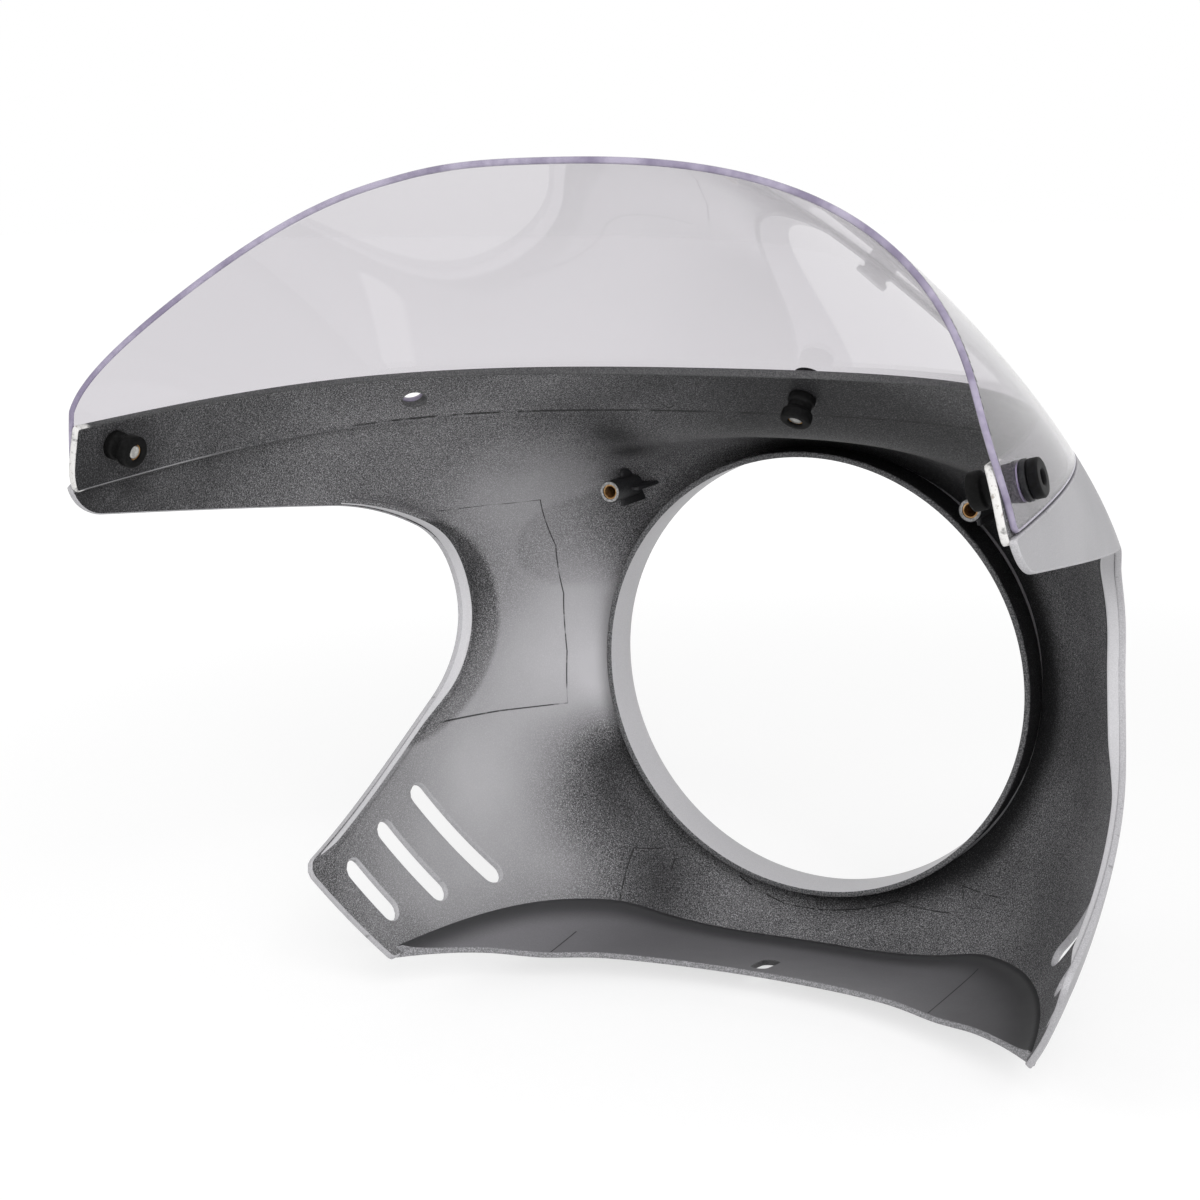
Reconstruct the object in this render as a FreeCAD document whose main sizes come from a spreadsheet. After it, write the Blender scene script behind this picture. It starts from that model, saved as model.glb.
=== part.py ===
import FreeCAD, Part
import Sketcher
import math
import os

# Quarter fairing for a round headlamp, with a clear bubble windscreen.
# X points to the rider's right, Y forwards and Z up, in millimetres. The origin is the
# centre of the headlamp opening, on the rear rim of its collar.

Vector = FreeCAD.Vector

# Driving sizes: alias, value, meaning
SIZES = [
    # headlamp opening
    ("lamp_radius", 92.6, "inner radius of the headlamp collar"),
    ("collar_depth", 18.5, "depth of the collar, rear rim to nose"),
    ("wall", 2.4, "wall of the fairing moulding"),
    # styling skin: each cross-section is a superellipse that grows from the nose backwards
    ("half_width", 173.0, "half width that the skin tends to"),
    ("width_reach", 60.0, "length in which the width opens out"),
    ("chin_depth", 183.0, "depth below the origin that the skin tends to"),
    ("chin_reach", 78.0, "length in which the chin opens out"),
    ("shoulder_height", 77.0, "height of the widest line that the skin tends to"),
    ("shoulder_reach", 120.0, "length in which the widest line rises"),
    ("squareness", 0.48, "exponent above 2 of the rear cross-sections"),
    ("square_reach", 25.0, "length in which the sections turn from round to square"),
    ("forehead_rise", 11.3, "rise of the forehead above the headlamp"),
    ("forehead_reach", 15.0, "length in which the forehead rises"),
    ("brow_setback", 62.0, "distance of the brow behind the nose"),
    ("brow_blend", 9.0, "length over which forehead and screen blend"),
    ("screen_slope", 0.88, "slope of the screen at the brow"),
    ("screen_bow", 0.0012, "loss of slope along the screen"),
    ("skin_length", 280.0, "length of the skin from the nose back"),
    # windscreen and the joggle that it seats on
    ("screen_wall", 2.0, "thickness of the windscreen"),
    ("seat_gap", 0.2, "gap between windscreen and joggled band"),
    ("joggle_height", 125.3, "height of the joggle line at the origin"),
    ("joggle_fall", 0.0486, "fall of the joggle line for each length back"),
    ("ledge_gap", 0.6, "gap under the lower edge of the windscreen"),
    ("band_height", 16.6, "height of the joggled band at the origin"),
    ("band_flare", 0.0176, "growth of the band for each length back"),
    ("screen_top_back", 208.5, "top of the windscreen behind the origin"),
    ("screen_top_height", 220.0, "top of the windscreen above the origin"),
    ("screen_edge_angle", 59.0, "angle of the windscreen's rear edge"),
    ("screen_rear_back", 254.0, "rearmost point of the windscreen's ears"),
    ("screen_ear_angle", 104.0, "angle of the rear edge below the ears"),
    ("screen_ear_radius", 28.0, "corner radius at the ears"),
    ("screen_low_radius", 3.0, "corner radius at the ends of the lower edge"),
    # arms, handlebar cut-outs and wings, drawn in side view
    ("cutout_back", 41.4, "deepest point of the cut-out behind the origin"),
    ("cutout_height", 28.0, "height of that point"),
    ("cutout_radius", 47.0, "radius of the cut-out"),
    ("cutout_turn_up", 60.0, "angle of that radius upwards"),
    ("cutout_turn_down", 50.0, "angle of that radius downwards"),
    ("arm_radius", 120.0, "radius that leads into the arm's lower edge"),
    ("arm_fall", 7.7, "angle of the arm's lower edge"),
    ("arm_back", 250.0, "rear end of the arms behind the origin"),
    ("arm_corner", 20.0, "lower corner radius of the arm's end"),
    ("arm_top_corner", 4.0, "upper corner radius of the arm's end"),
    ("wing_radius", 250.0, "radius of the wing's upper edge"),
    ("wing_turn", 23.5, "angle of that radius"),
    ("wing_tip_back", 121.0, "wing tip behind the origin"),
    ("wing_tip_height", -102.0, "height of the wing tip"),
    ("wing_corner", 5.0, "corner radius of the wing"),
    ("return_depth", 6.2, "depth of the return flange round the cut-out"),
    ("return_setback", 0.25, "return flange behind the cut edge"),
    # slots in the wings
    ("slot_width", 8.4, "width of each slot"),
    ("slot_length", 43.6, "longest slot, between the centres of its ends"),
    ("slot_step", 10.9, "difference between neighbouring slots"),
    ("slot_pitch", 28.0, "distance between the slots"),
    ("slot_angle", 62.4, "angle of the slots"),
    ("slot_back", 55.8, "lower end of the first slot behind the origin"),
    ("slot_height", -84.5, "height of the slots' lower ends"),
    # chin flange
    ("flange_mid_front", -117.0, "height at the middle, below the lamp"),
    ("flange_mid_rear", -99.0, "height at the middle, at the reference length back"),
    ("flange_lobe_front", -104.5, "height at the lobes, below the lamp"),
    ("flange_lobe_rear", -103.5, "height at the lobes, at the reference length back"),
    ("flange_end_front", -101.0, "height at the ends, below the lamp"),
    ("flange_end_rear", -100.5, "height at the ends, at the reference length back"),
    ("flange_dip", 62.0, "half width of the dip between the lobes"),
    ("flange_lobe", 84.0, "distance of the lobes from the middle"),
    ("flange_end", 105.0, "distance from the middle at which the ends begin"),
    ("flange_shoulder", 0.4, "share of the climb from middle to lobe reached at the dip's side"),
    ("flange_back", 64.0, "free edge behind the origin at the middle"),
    ("flange_radius", 192.0, "radius of the free edge in plan"),
    ("drain_length", 18.0, "length of the slotted hole in the chin flange"),
    ("drain_width", 7.0, "width of that hole"),
    ("drain_back", 49.0, "its centre behind the origin"),
    # bracket bosses
    ("boss_side", 78.2, "boss axis from the middle plane"),
    ("boss_height", 78.5, "height of the boss axis"),
    ("boss_back", 22.7, "boss end behind the origin"),
    ("boss_radius", 4.6, "outer radius of a boss"),
    ("boss_rib", 3.2, "height of the ribs round a boss"),
    ("boss_rib_wall", 1.6, "thickness of those ribs"),
    ("boss_rib_setback", 10.5, "ribs start behind the boss end"),
    ("boss_insert_radius", 3.1, "outer radius of the brass insert"),
    ("boss_insert_bore", 2.3, "thread bore radius of the insert"),
    ("boss_insert_length", 12.0, "length of the insert"),
    ("boss_insert_recess", 0.4, "insert below the boss end"),
    # windscreen fasteners
    ("fixing_hole", 4.8, "radius of the holes in windscreen and band"),
    ("end_fixing_back", 231.0, "end fixings behind the origin"),
    ("end_fixing_turn", 16.6, "place of the end fixings round the section"),
    ("mid_fixing_back", 103.4, "empty hole behind the origin"),
    ("mid_fixing_turn", 45.9, "place of the empty hole round the section"),
    ("front_fixing_back", 73.9, "front fixing behind the origin"),
    ("front_fixing_turn", 81.5, "place of the front fixing round the section"),
    ("nut_neck", 4.6, "radius of the rubber nut in the hole"),
    ("nut_base", 5.2, "radius of its swollen base"),
    ("nut_waist", 4.5, "radius of its waist"),
    ("nut_end", 5.8, "radius of its end"),
    ("nut_reach", 11.0, "how far the nut stands inside the band"),
    ("nut_base_length", 2.4, "length of the swollen base"),
    ("nut_end_length", 4.0, "length of the end"),
    ("nut_taper", 0.8, "length of the tapers"),
    ("nut_bore", 2.8, "bore radius of the rubber nut"),
    ("nut_gap", 0.35, "nut off the curved band"),
    ("nut_lip", 1.0, "rubber over the end of the insert"),
    ("nut_insert_radius", 3.5, "outer radius of the nut's brass insert"),
    ("nut_insert_bore", 2.45, "bore radius of that insert"),
    ("nut_insert_length", 6.5, "length of that insert"),
    ("washer_radius", 6.2, "outer radius of the washers"),
    ("washer_bore", 2.8, "inner radius of the washers"),
    ("washer_wall", 2.0, "thickness of the washers"),
    ("washer_bevel", 0.5, "bevel of the washers"),
    ("washer_gap", 0.15, "washer off the curved windscreen"),
    ("screw_radius", 2.4, "radius of the screw shanks"),
    ("screw_grip", 3.5, "length of thread in the insert"),
    ("head_radius", 5.9, "radius of the screw heads"),
    ("head_height", 4.6, "height of the screw heads"),
    ("head_round", 1.0, "bevel of the screw heads"),
    ("socket_radius", 2.2, "corner radius of the hexagon socket"),
    ("socket_depth", 2.4, "depth of the socket"),
]

STATIONS = 12          # cross-sections along the skin
STATION_GROWTH = 1.7   # closer together near the nose
SECTION_POINTS = 30    # points round each cross-section
SEAM_TURN = -18.0      # where each cross-section starts, clear of slots and flanges
SLOT_COUNT = 3         # slots in each wing
REFERENCE_LENGTH = 100.0
REACH = 400.0          # longer than any piece, for cutting tools
FRONT = REACH / 8      # in front of the nose
BEHIND = -REACH        # behind the arms and the windscreen
BELOW = -REACH / 2     # under the chin
TOLERANCE = 1e-9

doc = FreeCAD.newDocument("quarter_fairing")
sheet = doc.addObject("Spreadsheet::Sheet", "Sizes")
for row, (alias, value, meaning) in enumerate(SIZES, start=1):
    sheet.set("A%d" % row, meaning)
    sheet.set("B%d" % row, repr(value))
    sheet.setAlias("B%d" % row, alias)
doc.recompute()


def size(alias):
    return float(sheet.get(alias))


def keep(name, shape):
    obj = doc.addObject("Part::Feature", name)
    obj.Shape = shape
    return obj


def cut(name, base, tool):
    obj = doc.addObject("Part::Cut", name)
    obj.Base, obj.Tool = base, tool
    doc.recompute()
    return obj


def fuse(name, *objects):
    obj = doc.addObject("Part::MultiFuse", name)
    obj.Shapes = list(objects)
    doc.recompute()
    return obj


def common(name, *objects):
    obj = doc.addObject("Part::MultiCommon", name)
    obj.Shapes = list(objects)
    doc.recompute()
    return obj


# Styling skin


def grow(start, end, reach, run):
    return end - (end - start) * math.exp(-run / reach)


def section_sizes(run):
    # half width, middle height, rise, drop and exponent of the section at a distance from the nose
    ring = size("lamp_radius") + size("wall")
    width = grow(ring, size("half_width"), size("width_reach"), run)
    middle = grow(0.0, size("shoulder_height"), size("shoulder_reach"), run)
    blend = size("brow_blend")
    behind_brow = blend * math.log1p(math.exp((run - size("brow_setback")) / blend))
    top = grow(ring, ring + size("forehead_rise"), size("forehead_reach"), run)
    top += size("screen_slope") * behind_brow - size("screen_bow") * behind_brow ** 2
    chin = grow(ring, size("chin_depth"), size("chin_reach"), run)
    power = grow(2.0, 2.0 + size("squareness"), size("square_reach"), run)
    return width, middle, top - middle, middle + chin, power


def slopes(run):
    step = 0.5
    first, last = section_sizes(max(run - step, 0.0)), section_sizes(run + step)
    span = step + min(run, step)
    side = (last[0] - first[0]) / span
    top = (last[1] + last[2] - first[1] - first[2]) / span
    chin = (last[3] - last[1] - first[3] + first[1]) / span
    return side, top, chin


def skin_point(run, angle, inset=0.0):
    # point of the skin at an angle from the widest line, moved in by the inset across the wall
    width, middle, rise, drop, power = section_sizes(run)
    side, top, chin = slopes(run)
    width -= inset * math.hypot(1.0, side)
    rise -= inset * math.hypot(1.0, top)
    drop -= inset * math.hypot(1.0, chin)
    cosine, sine = math.cos(angle), math.sin(angle)
    x = width * math.copysign(abs(cosine) ** (2.0 / power), cosine)
    z = (rise if sine > 0 else drop) * math.copysign(abs(sine) ** (2.0 / power), sine)
    return Vector(x, size("collar_depth") - run, middle + z)


def skin(name, inset):
    wires = []
    for i in range(STATIONS):
        run = size("skin_length") * (i / (STATIONS - 1)) ** STATION_GROWTH
        angles = [math.radians(SEAM_TURN + 360.0 * k / SECTION_POINTS) for k in range(SECTION_POINTS)]
        curve = Part.BSplineCurve()
        curve.interpolate(Points=[skin_point(run, a, inset) for a in angles], PeriodicFlag=True)
        wires.append(Part.Wire([curve.toShape()]))
    return keep(name, Part.makeLoft(wires, True, False))


def skin_frame(back, turn):
    # point on the outer skin, with its outward normal
    run = size("collar_depth") + back
    angle = math.radians(turn)
    step = 0.01
    along = skin_point(run + step, angle) - skin_point(run - step, angle)
    around = skin_point(run, angle + step) - skin_point(run, angle - step)
    normal = along.cross(around).normalize()
    point = skin_point(run, angle)
    if normal.dot(Vector(point.x, 0, point.z)) < 0:
        normal = normal * -1
    return point, normal


# Outlines in side view: y backwards is negative, heights are z


def side(y, z):
    return Vector(-REACH / 2, y, z)


def prism(name, outline):
    face = keep(name + "_outline", outline)
    solid = doc.addObject("Part::Extrusion", name)
    solid.Base = face
    solid.DirMode = "Custom"
    solid.Dir = Vector(1, 0, 0)
    solid.LengthFwd = REACH
    solid.Solid = True
    doc.recompute()
    return solid


def polygon(points):
    return Part.makePolygon(points + points[:1])


def rounded(points, radii):
    # closed outline through corner points, each with its own fillet radius
    edges = []
    ends = []
    count = len(points)
    for i, (corner, radius) in enumerate(zip(points, radii)):
        before = (points[i - 1] - corner).normalize()
        after = (points[(i + 1) % count] - corner).normalize()
        if radius <= 0:
            ends.append((corner, corner, None))
            continue
        half = before.getAngle(after) / 2
        length = radius / math.tan(half)
        middle = corner + (before + after).normalize() * (radius / math.sin(half) - radius)
        ends.append((corner + before * length, corner + after * length, middle))
    for i, (first, last, middle) in enumerate(ends):
        if middle is not None:
            edges.append(Part.Arc(first, middle, last).toShape())
        edges.append(Part.LineSegment(last, ends[(i + 1) % count][0]).toShape())
    return Part.Wire(edges)


def arc_point(centre, radius, turn):
    angle = math.radians(turn)
    return side(centre[0] + radius * math.cos(angle), centre[1] + radius * math.sin(angle))


def tangent_arc(centre, radius, first, last):
    middle = (first + last) / 2
    return Part.Arc(*[arc_point(centre, radius, turn) for turn in (first, middle, last)]).toShape()


def next_centre(centre, radius, turn, new_radius):
    # centre of an arc that carries on smoothly at the end of another
    angle = math.radians(turn)
    shift = radius - new_radius
    return centre[0] + shift * math.cos(angle), centre[1] + shift * math.sin(angle)


def joggle_at(y, lift=0.0):
    return size("joggle_height") + size("joggle_fall") * y + lift


def band_top_at(y):
    return joggle_at(y, size("band_height") - size("band_flare") * y)


def cutout_centre():
    return -size("cutout_radius") - size("cutout_back"), size("cutout_height")


def cutout_outline():
    # handlebar cut-out, from the arm's end round to the wing's corner, closed behind the fairing
    up, down = size("cutout_turn_up"), -size("cutout_turn_down")
    radius, arm, wing = size("cutout_radius"), size("arm_radius"), size("wing_radius")
    middle = cutout_centre()
    arm_middle = next_centre(middle, radius, up, arm)
    wing_middle = next_centre(middle, radius, down, wing)
    arm_turn = 90.0 - size("arm_fall")
    wing_turn = down - size("wing_turn")
    arm_end = arc_point(arm_middle, arm, arm_turn)
    rise = math.tan(math.radians(size("arm_fall")))
    lower = side(-size("arm_back"), arm_end.z + rise * (arm_end.y + size("arm_back")))
    corner = size("arm_corner")
    # the arm's end is rounded where its lower edge meets its rear edge
    half = math.radians(90.0 - size("arm_fall")) / 2
    reach = corner / math.tan(half)
    along = (arm_end - lower).normalize()
    before = lower + along * reach
    after = lower + Vector(0, 0, reach)
    inwards = (along + Vector(0, 0, 1)).normalize()
    bend = lower + inwards * (corner / math.sin(half) - corner)
    top = side(after.y, band_top_at(after.y) + REACH)
    wing_corner = arc_point(wing_middle, wing, wing_turn)
    tip = side(-size("wing_tip_back"), size("wing_tip_height"))
    edge = (tip - wing_corner).normalize()
    wing_along = arc_point(wing_middle, wing, wing_turn + 1) - wing_corner
    wing_along = wing_along.normalize()
    rounding = size("wing_corner")
    half = wing_along.getAngle(edge) / 2
    reach = rounding / math.tan(half)
    # the wing's corner is rounded between its upper edge and its rear edge
    upper_turn = wing_turn + math.degrees(reach / wing)
    upper = arc_point(wing_middle, wing, upper_turn)
    lower_side = wing_corner + edge * reach
    curve = wing_corner + (wing_along + edge).normalize() * (rounding / math.sin(half) - rounding)
    far = tip + edge * (REACH / 4)
    behind = [side(BEHIND, far.z), side(BEHIND, top.z)]
    edges = [
        Part.LineSegment(top, after).toShape(),
        Part.Arc(after, bend, before).toShape(),
        Part.LineSegment(before, arm_end).toShape(),
        tangent_arc(arm_middle, arm, arm_turn, up),
        tangent_arc(middle, radius, up, down),
        tangent_arc(wing_middle, wing, down, upper_turn),
        Part.Arc(upper, curve, lower_side).toShape(),
        Part.LineSegment(lower_side, far).toShape(),
        Part.LineSegment(far, behind[0]).toShape(),
        Part.LineSegment(*behind).toShape(),
        Part.LineSegment(behind[1], top).toShape(),
    ]
    return Part.Wire(edges)


# Chin flange: a curved shelf between the chin and its free edge


def shelf_curve(y, drop):
    share = -y / REFERENCE_LENGTH
    middle = size("flange_mid_front") * (1 - share) + size("flange_mid_rear") * share
    lobe = size("flange_lobe_front") * (1 - share) + size("flange_lobe_rear") * share
    end = size("flange_end_front") * (1 - share) + size("flange_end_rear") * share
    shoulder = middle + (lobe - middle) * size("flange_shoulder")
    half = [(0.0, middle), (size("flange_dip"), shoulder), (size("flange_lobe"), lobe),
            (size("flange_end"), end), (REACH / 2, end)]
    points = [Vector(-x, y, z - drop) for x, z in half[:0:-1]] + [Vector(x, y, z - drop) for x, z in half]
    curve = Part.BSplineCurve()
    curve.interpolate(Points=points)
    return curve.toShape()


def shelf(name, thickness):
    wires = []
    for y in (FRONT, -2 * REFERENCE_LENGTH):
        upper, lower = shelf_curve(y, 0.0), shelf_curve(y, thickness)
        ends = [edge.Vertexes for edge in (upper, lower)]
        left = Part.LineSegment(ends[1][0].Point, ends[0][0].Point).toShape()
        right = Part.LineSegment(ends[0][-1].Point, ends[1][-1].Point).toShape()
        wires.append(Part.Wire([upper, right, lower, left]))
    return keep(name, Part.makeLoft(wires, True, True))


def stadium(centre_first, centre_last, width, normal):
    along = (centre_last - centre_first).normalize()
    across = along.cross(normal).normalize() * (width / 2)
    cap = along * (width / 2)
    return Part.Wire([
        Part.LineSegment(centre_first + across, centre_last + across).toShape(),
        Part.Arc(centre_last + across, centre_last + cap, centre_last - across).toShape(),
        Part.LineSegment(centre_last - across, centre_first - across).toShape(),
        Part.Arc(centre_first - across, centre_first - cap, centre_first + across).toShape(),
    ])


def cylinder_along_y(name, radius, first, last, x=0.0, z=0.0):
    obj = doc.addObject("Part::Cylinder", name)
    obj.setExpression("Radius", radius)
    obj.setExpression("Height", "(%s) - (%s)" % (last, first))
    obj.Placement = FreeCAD.Placement(Vector(x, 0, z), FreeCAD.Rotation(Vector(1, 0, 0), -90))
    obj.setExpression("Placement.Base.y", first)
    doc.recompute()
    return obj


# Fairing shell

wall = size("wall")
seat = size("screen_wall") + size("seat_gap")
outer = skin("skin_outer", 0.0)
inner = skin("skin_inner", wall)
core = skin("skin_core", wall / 2)
seat_outer = skin("skin_seat_outer", seat)
seat_middle = skin("skin_seat_middle", seat + wall / 2)
seat_inner = skin("skin_seat_inner", seat + wall)
return_core = skin("skin_return", size("return_depth"))

rear = -size("arm_back")
cutout = Part.Face(cutout_outline())


def side_slab(name, wire):
    # part of the side view that the cut-out leaves, as a slab across the whole width
    return prism(name, Part.Face(wire).cut(cutout))


below_joggle = side_slab("below_joggle", polygon([
    side(FRONT, BELOW), side(BEHIND, BELOW), side(BEHIND, joggle_at(BEHIND)), side(FRONT, joggle_at(FRONT))]))
step_slab = side_slab("step_slab", polygon([
    side(FRONT, joggle_at(FRONT, -wall)), side(rear - wall, joggle_at(rear - wall, -wall)),
    side(rear - wall, joggle_at(rear - wall)), side(FRONT, joggle_at(FRONT))]))
band_slab = side_slab("band_slab", rounded(
    [side(FRONT, joggle_at(FRONT, -wall)), side(rear, joggle_at(rear, -wall)),
     side(rear, band_top_at(rear)), side(FRONT, band_top_at(FRONT))],
    [0, 0, size("arm_top_corner"), 0]))

body = common("body_below", cut("body_wall", outer, inner), below_joggle)
step = common("joggle_step", cut("joggle_wall", core, seat_middle), step_slab)
band = common("joggle_band", cut("band_wall", seat_outer, seat_inner), band_slab)

across = Vector(1, 0, 0)
sector = Part.makeCylinder(size("cutout_radius") + wall, REACH, side(*cutout_centre()), across)
sector = sector.cut(Part.makeCylinder(
    size("cutout_radius") + size("return_setback"), REACH, side(*cutout_centre()), across))
wedge_far = 2 * size("cutout_radius")
wedge = Part.Face(polygon([
    side(*cutout_centre()),
    arc_point(cutout_centre(), wedge_far, -size("cutout_turn_down")),
    arc_point(cutout_centre(), wedge_far * 2, 0),
    arc_point(cutout_centre(), wedge_far, size("cutout_turn_up"))])).extrude(across * REACH)
return_ring = keep("return_ring", sector.common(wedge))
return_flange = common("return_flange", cut("return_wall", core, return_core), return_ring)

shelf_plate = shelf("shelf_plate", 2 * wall)
under_shelf = shelf("under_shelf", REACH / 2)
under_shelf.Placement.Base.z = -wall
edge_radius = size("flange_radius")
edge_disc = keep("edge_disc", Part.makeCylinder(
    edge_radius, REACH, Vector(0, -size("flange_back") - edge_radius, BELOW), Vector(0, 0, 1)))
chin_flange = cut("chin_flange", common("chin_plate", shelf_plate, core), edge_disc)

collar = cylinder_along_y(
    "collar", "Sizes.lamp_radius + Sizes.wall", "0", "Sizes.collar_depth - Sizes.wall / 2")
lamp_hole = cylinder_along_y(
    "lamp_hole", "Sizes.lamp_radius", "-Sizes.collar_depth", "3 * Sizes.collar_depth")

bosses = []
for mark, x in (("left", -size("boss_side")), ("right", size("boss_side"))):
    post = cylinder_along_y("boss_post_" + mark, "Sizes.boss_radius", "-Sizes.boss_back",
                            "2 * Sizes.collar_depth", x, size("boss_height"))
    ribs = []
    for turn in range(2):
        rib = doc.addObject("Part::Box", "boss_rib_%s_%d" % (mark, turn))
        rib.setExpression("Length", "2 * (Sizes.boss_radius + Sizes.boss_rib)")
        rib.setExpression("Width", "2 * Sizes.collar_depth + Sizes.boss_back - Sizes.boss_rib_setback")
        rib.setExpression("Height", "Sizes.boss_rib_wall")
        half_span = size("boss_radius") + size("boss_rib")
        half_wall = size("boss_rib_wall") / 2
        start = size("boss_rib_setback") - size("boss_back")
        turned = FreeCAD.Rotation(Vector(0, 1, 0), 90.0 * turn)
        offset = turned.multVec(Vector(-half_span, 0, -half_wall))
        rib.Placement = FreeCAD.Placement(Vector(x, start, size("boss_height")) + offset, turned)
        ribs.append(rib)
    doc.recompute()
    bosses.append(common("boss_" + mark, fuse("boss_solid_" + mark, post, *ribs), core))

wing_slots = []
direction = Vector(0, -math.cos(math.radians(size("slot_angle"))), math.sin(math.radians(size("slot_angle"))))
for i in range(SLOT_COUNT):
    low = side(-size("slot_back") - i * size("slot_pitch"), size("slot_height"))
    high = low + direction * (size("slot_length") - i * size("slot_step"))
    wing_slots.append(prism("wing_slot_%d" % (i + 1), Part.Face(
        stadium(low, high, size("slot_width"), across))))

drain_half = (size("drain_length") - size("drain_width")) / 2
drain = keep("drain", Part.Face(stadium(
    Vector(0, -size("drain_back") - drain_half, BELOW),
    Vector(0, -size("drain_back") + drain_half, BELOW),
    size("drain_width"), Vector(0, 0, 1))).extrude(Vector(0, 0, -BELOW)))

# Fixing places: end fixings on both sides, one front fixing on the right, an empty hole on the left
end_point, end_normal = skin_frame(size("end_fixing_back"), size("end_fixing_turn"))
mid_point, mid_normal = skin_frame(size("mid_fixing_back"), size("mid_fixing_turn"))
front_point, front_normal = skin_frame(size("front_fixing_back"), size("front_fixing_turn"))


def mirrored(vector):
    return Vector(-vector.x, vector.y, vector.z)


fixings = [(end_point, end_normal), (front_point, front_normal), (mirrored(end_point), mirrored(end_normal))]
empty_hole = (mirrored(mid_point), mirrored(mid_normal))


def placed(point, normal):
    return FreeCAD.Placement(point, FreeCAD.Rotation(Vector(0, 0, 1), normal))


holes = []
for i, (point, normal) in enumerate(fixings + [empty_hole]):
    hole = doc.addObject("Part::Cylinder", "fixing_hole_%d" % (i + 1))
    hole.setExpression("Radius", "Sizes.fixing_hole")
    hole.setExpression("Height", "4 * (Sizes.screen_wall + Sizes.wall)")
    depth = 2 * (size("screen_wall") + size("wall"))
    hole.Placement = placed(point - normal * depth, normal)
    holes.append(hole)
doc.recompute()

boss_bores = [cylinder_along_y("boss_bore_" + mark, "Sizes.boss_insert_radius", "-2 * Sizes.boss_back",
                               "Sizes.boss_insert_length + Sizes.boss_insert_recess - Sizes.boss_back",
                               x, size("boss_height"))
              for mark, x in (("left", -size("boss_side")), ("right", size("boss_side")))]
moulding = fuse("moulding_return", body, return_flange)
moulding = fuse("moulding_band", moulding, fuse("joggle", step, band))
moulding = fuse("moulding_shelf", moulding, chin_flange)
moulding = cut("moulding_chin", moulding, under_shelf)
moulding = fuse("moulding", moulding, cut("collar_ring", collar, lamp_hole), *bosses)
openings = fuse("openings", lamp_hole, drain, *(wing_slots + holes + boss_bores))
fairing = cut("fairing_shell", moulding, openings)

# Windscreen: the same skin, above the joggle

screen_inner = skin("skin_screen", size("screen_wall"))
edge_run = math.tan(math.radians(size("screen_edge_angle")))
ear_run = math.tan(math.radians(size("screen_ear_angle") - 90.0))
top = side(-size("screen_top_back"), size("screen_top_height"))
ear = side(-size("screen_rear_back"), top.z - (size("screen_rear_back") - size("screen_top_back")) * edge_run)
lower_y = ear.y + ear_run * (ear.z - joggle_at(ear.y))
lower = side(lower_y, joggle_at(lower_y, size("ledge_gap")))
over = side(top.y + REACH / 4 / edge_run, top.z + REACH / 4)
screen_slab = prism("screen_slab", Part.Face(rounded(
    [side(FRONT, joggle_at(FRONT, size("ledge_gap"))), lower, ear, over, side(FRONT, over.z)],
    [0, size("screen_low_radius"), size("screen_ear_radius"), 0, 0])))
screen = common("screen_blank", cut("screen_wall_solid", outer, screen_inner), screen_slab)
windscreen = cut("windscreen", screen, fuse("screen_holes", *holes))


# Turned pieces, each drawn as a half section and revolved about its own axis


def turned_body(name, profile):
    # profile: corner points as (radius, height) expressions
    body = doc.addObject("PartDesign::Body", name)
    plane = [o for o in body.Origin.OriginFeatures if o.Role == "XZ_Plane"][0]
    sketch = body.newObject("Sketcher::SketchObject", name + "_section")
    sketch.AttachmentSupport = [(plane, "")]
    sketch.MapMode = "FlatFace"
    doc.recompute()
    probe = doc.addObject("App::FeaturePython", name + "_probe")
    points = []
    for i, (radius, height) in enumerate(profile):
        values = []
        for label, expression in (("radius", radius), ("height", height)):
            prop = "%s_%d" % (label, i)
            probe.addProperty("App::PropertyFloat", prop)
            probe.setExpression(prop, expression)
            values.append(prop)
        points.append(values)
    doc.recompute()
    corners = [Vector(getattr(probe, r), getattr(probe, h), 0) for r, h in points]
    count = len(corners)
    for i in range(count):
        sketch.addGeometry(Part.LineSegment(corners[i], corners[(i + 1) % count]), False)
    for i in range(count):
        sketch.addConstraint(Sketcher.Constraint("Coincident", i, 2, (i + 1) % count, 1))
    for i, (radius, height) in enumerate(profile):
        if abs(corners[i].x) < TOLERANCE:
            sketch.addConstraint(Sketcher.Constraint("PointOnObject", i, 1, -2))
        else:
            index = sketch.addConstraint(Sketcher.Constraint("DistanceX", -1, 1, i, 1, corners[i].x))
            sketch.setExpression("Constraints[%d]" % index, "%s.%s" % (probe.Name, points[i][0]))
        if abs(corners[i].y) < TOLERANCE:
            sketch.addConstraint(Sketcher.Constraint("PointOnObject", i, 1, -1))
        else:
            index = sketch.addConstraint(Sketcher.Constraint("DistanceY", -1, 1, i, 1, corners[i].y))
            sketch.setExpression("Constraints[%d]" % index, "%s.%s" % (probe.Name, points[i][1]))
    doc.recompute()
    turning = body.newObject("PartDesign::Revolution", name + "_turning")
    turning.Profile = sketch
    turning.ReferenceAxis = (sketch, ["V_Axis"])
    turning.Angle = 360.0
    doc.recompute()
    return body


def group(name, master, placements):
    copies = []
    for placement in placements:
        copy = master.Shape.copy()
        copy.Placement = placement.multiply(copy.Placement)
        copies.append(copy)
    return keep(name, Part.makeCompound(copies))


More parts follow.
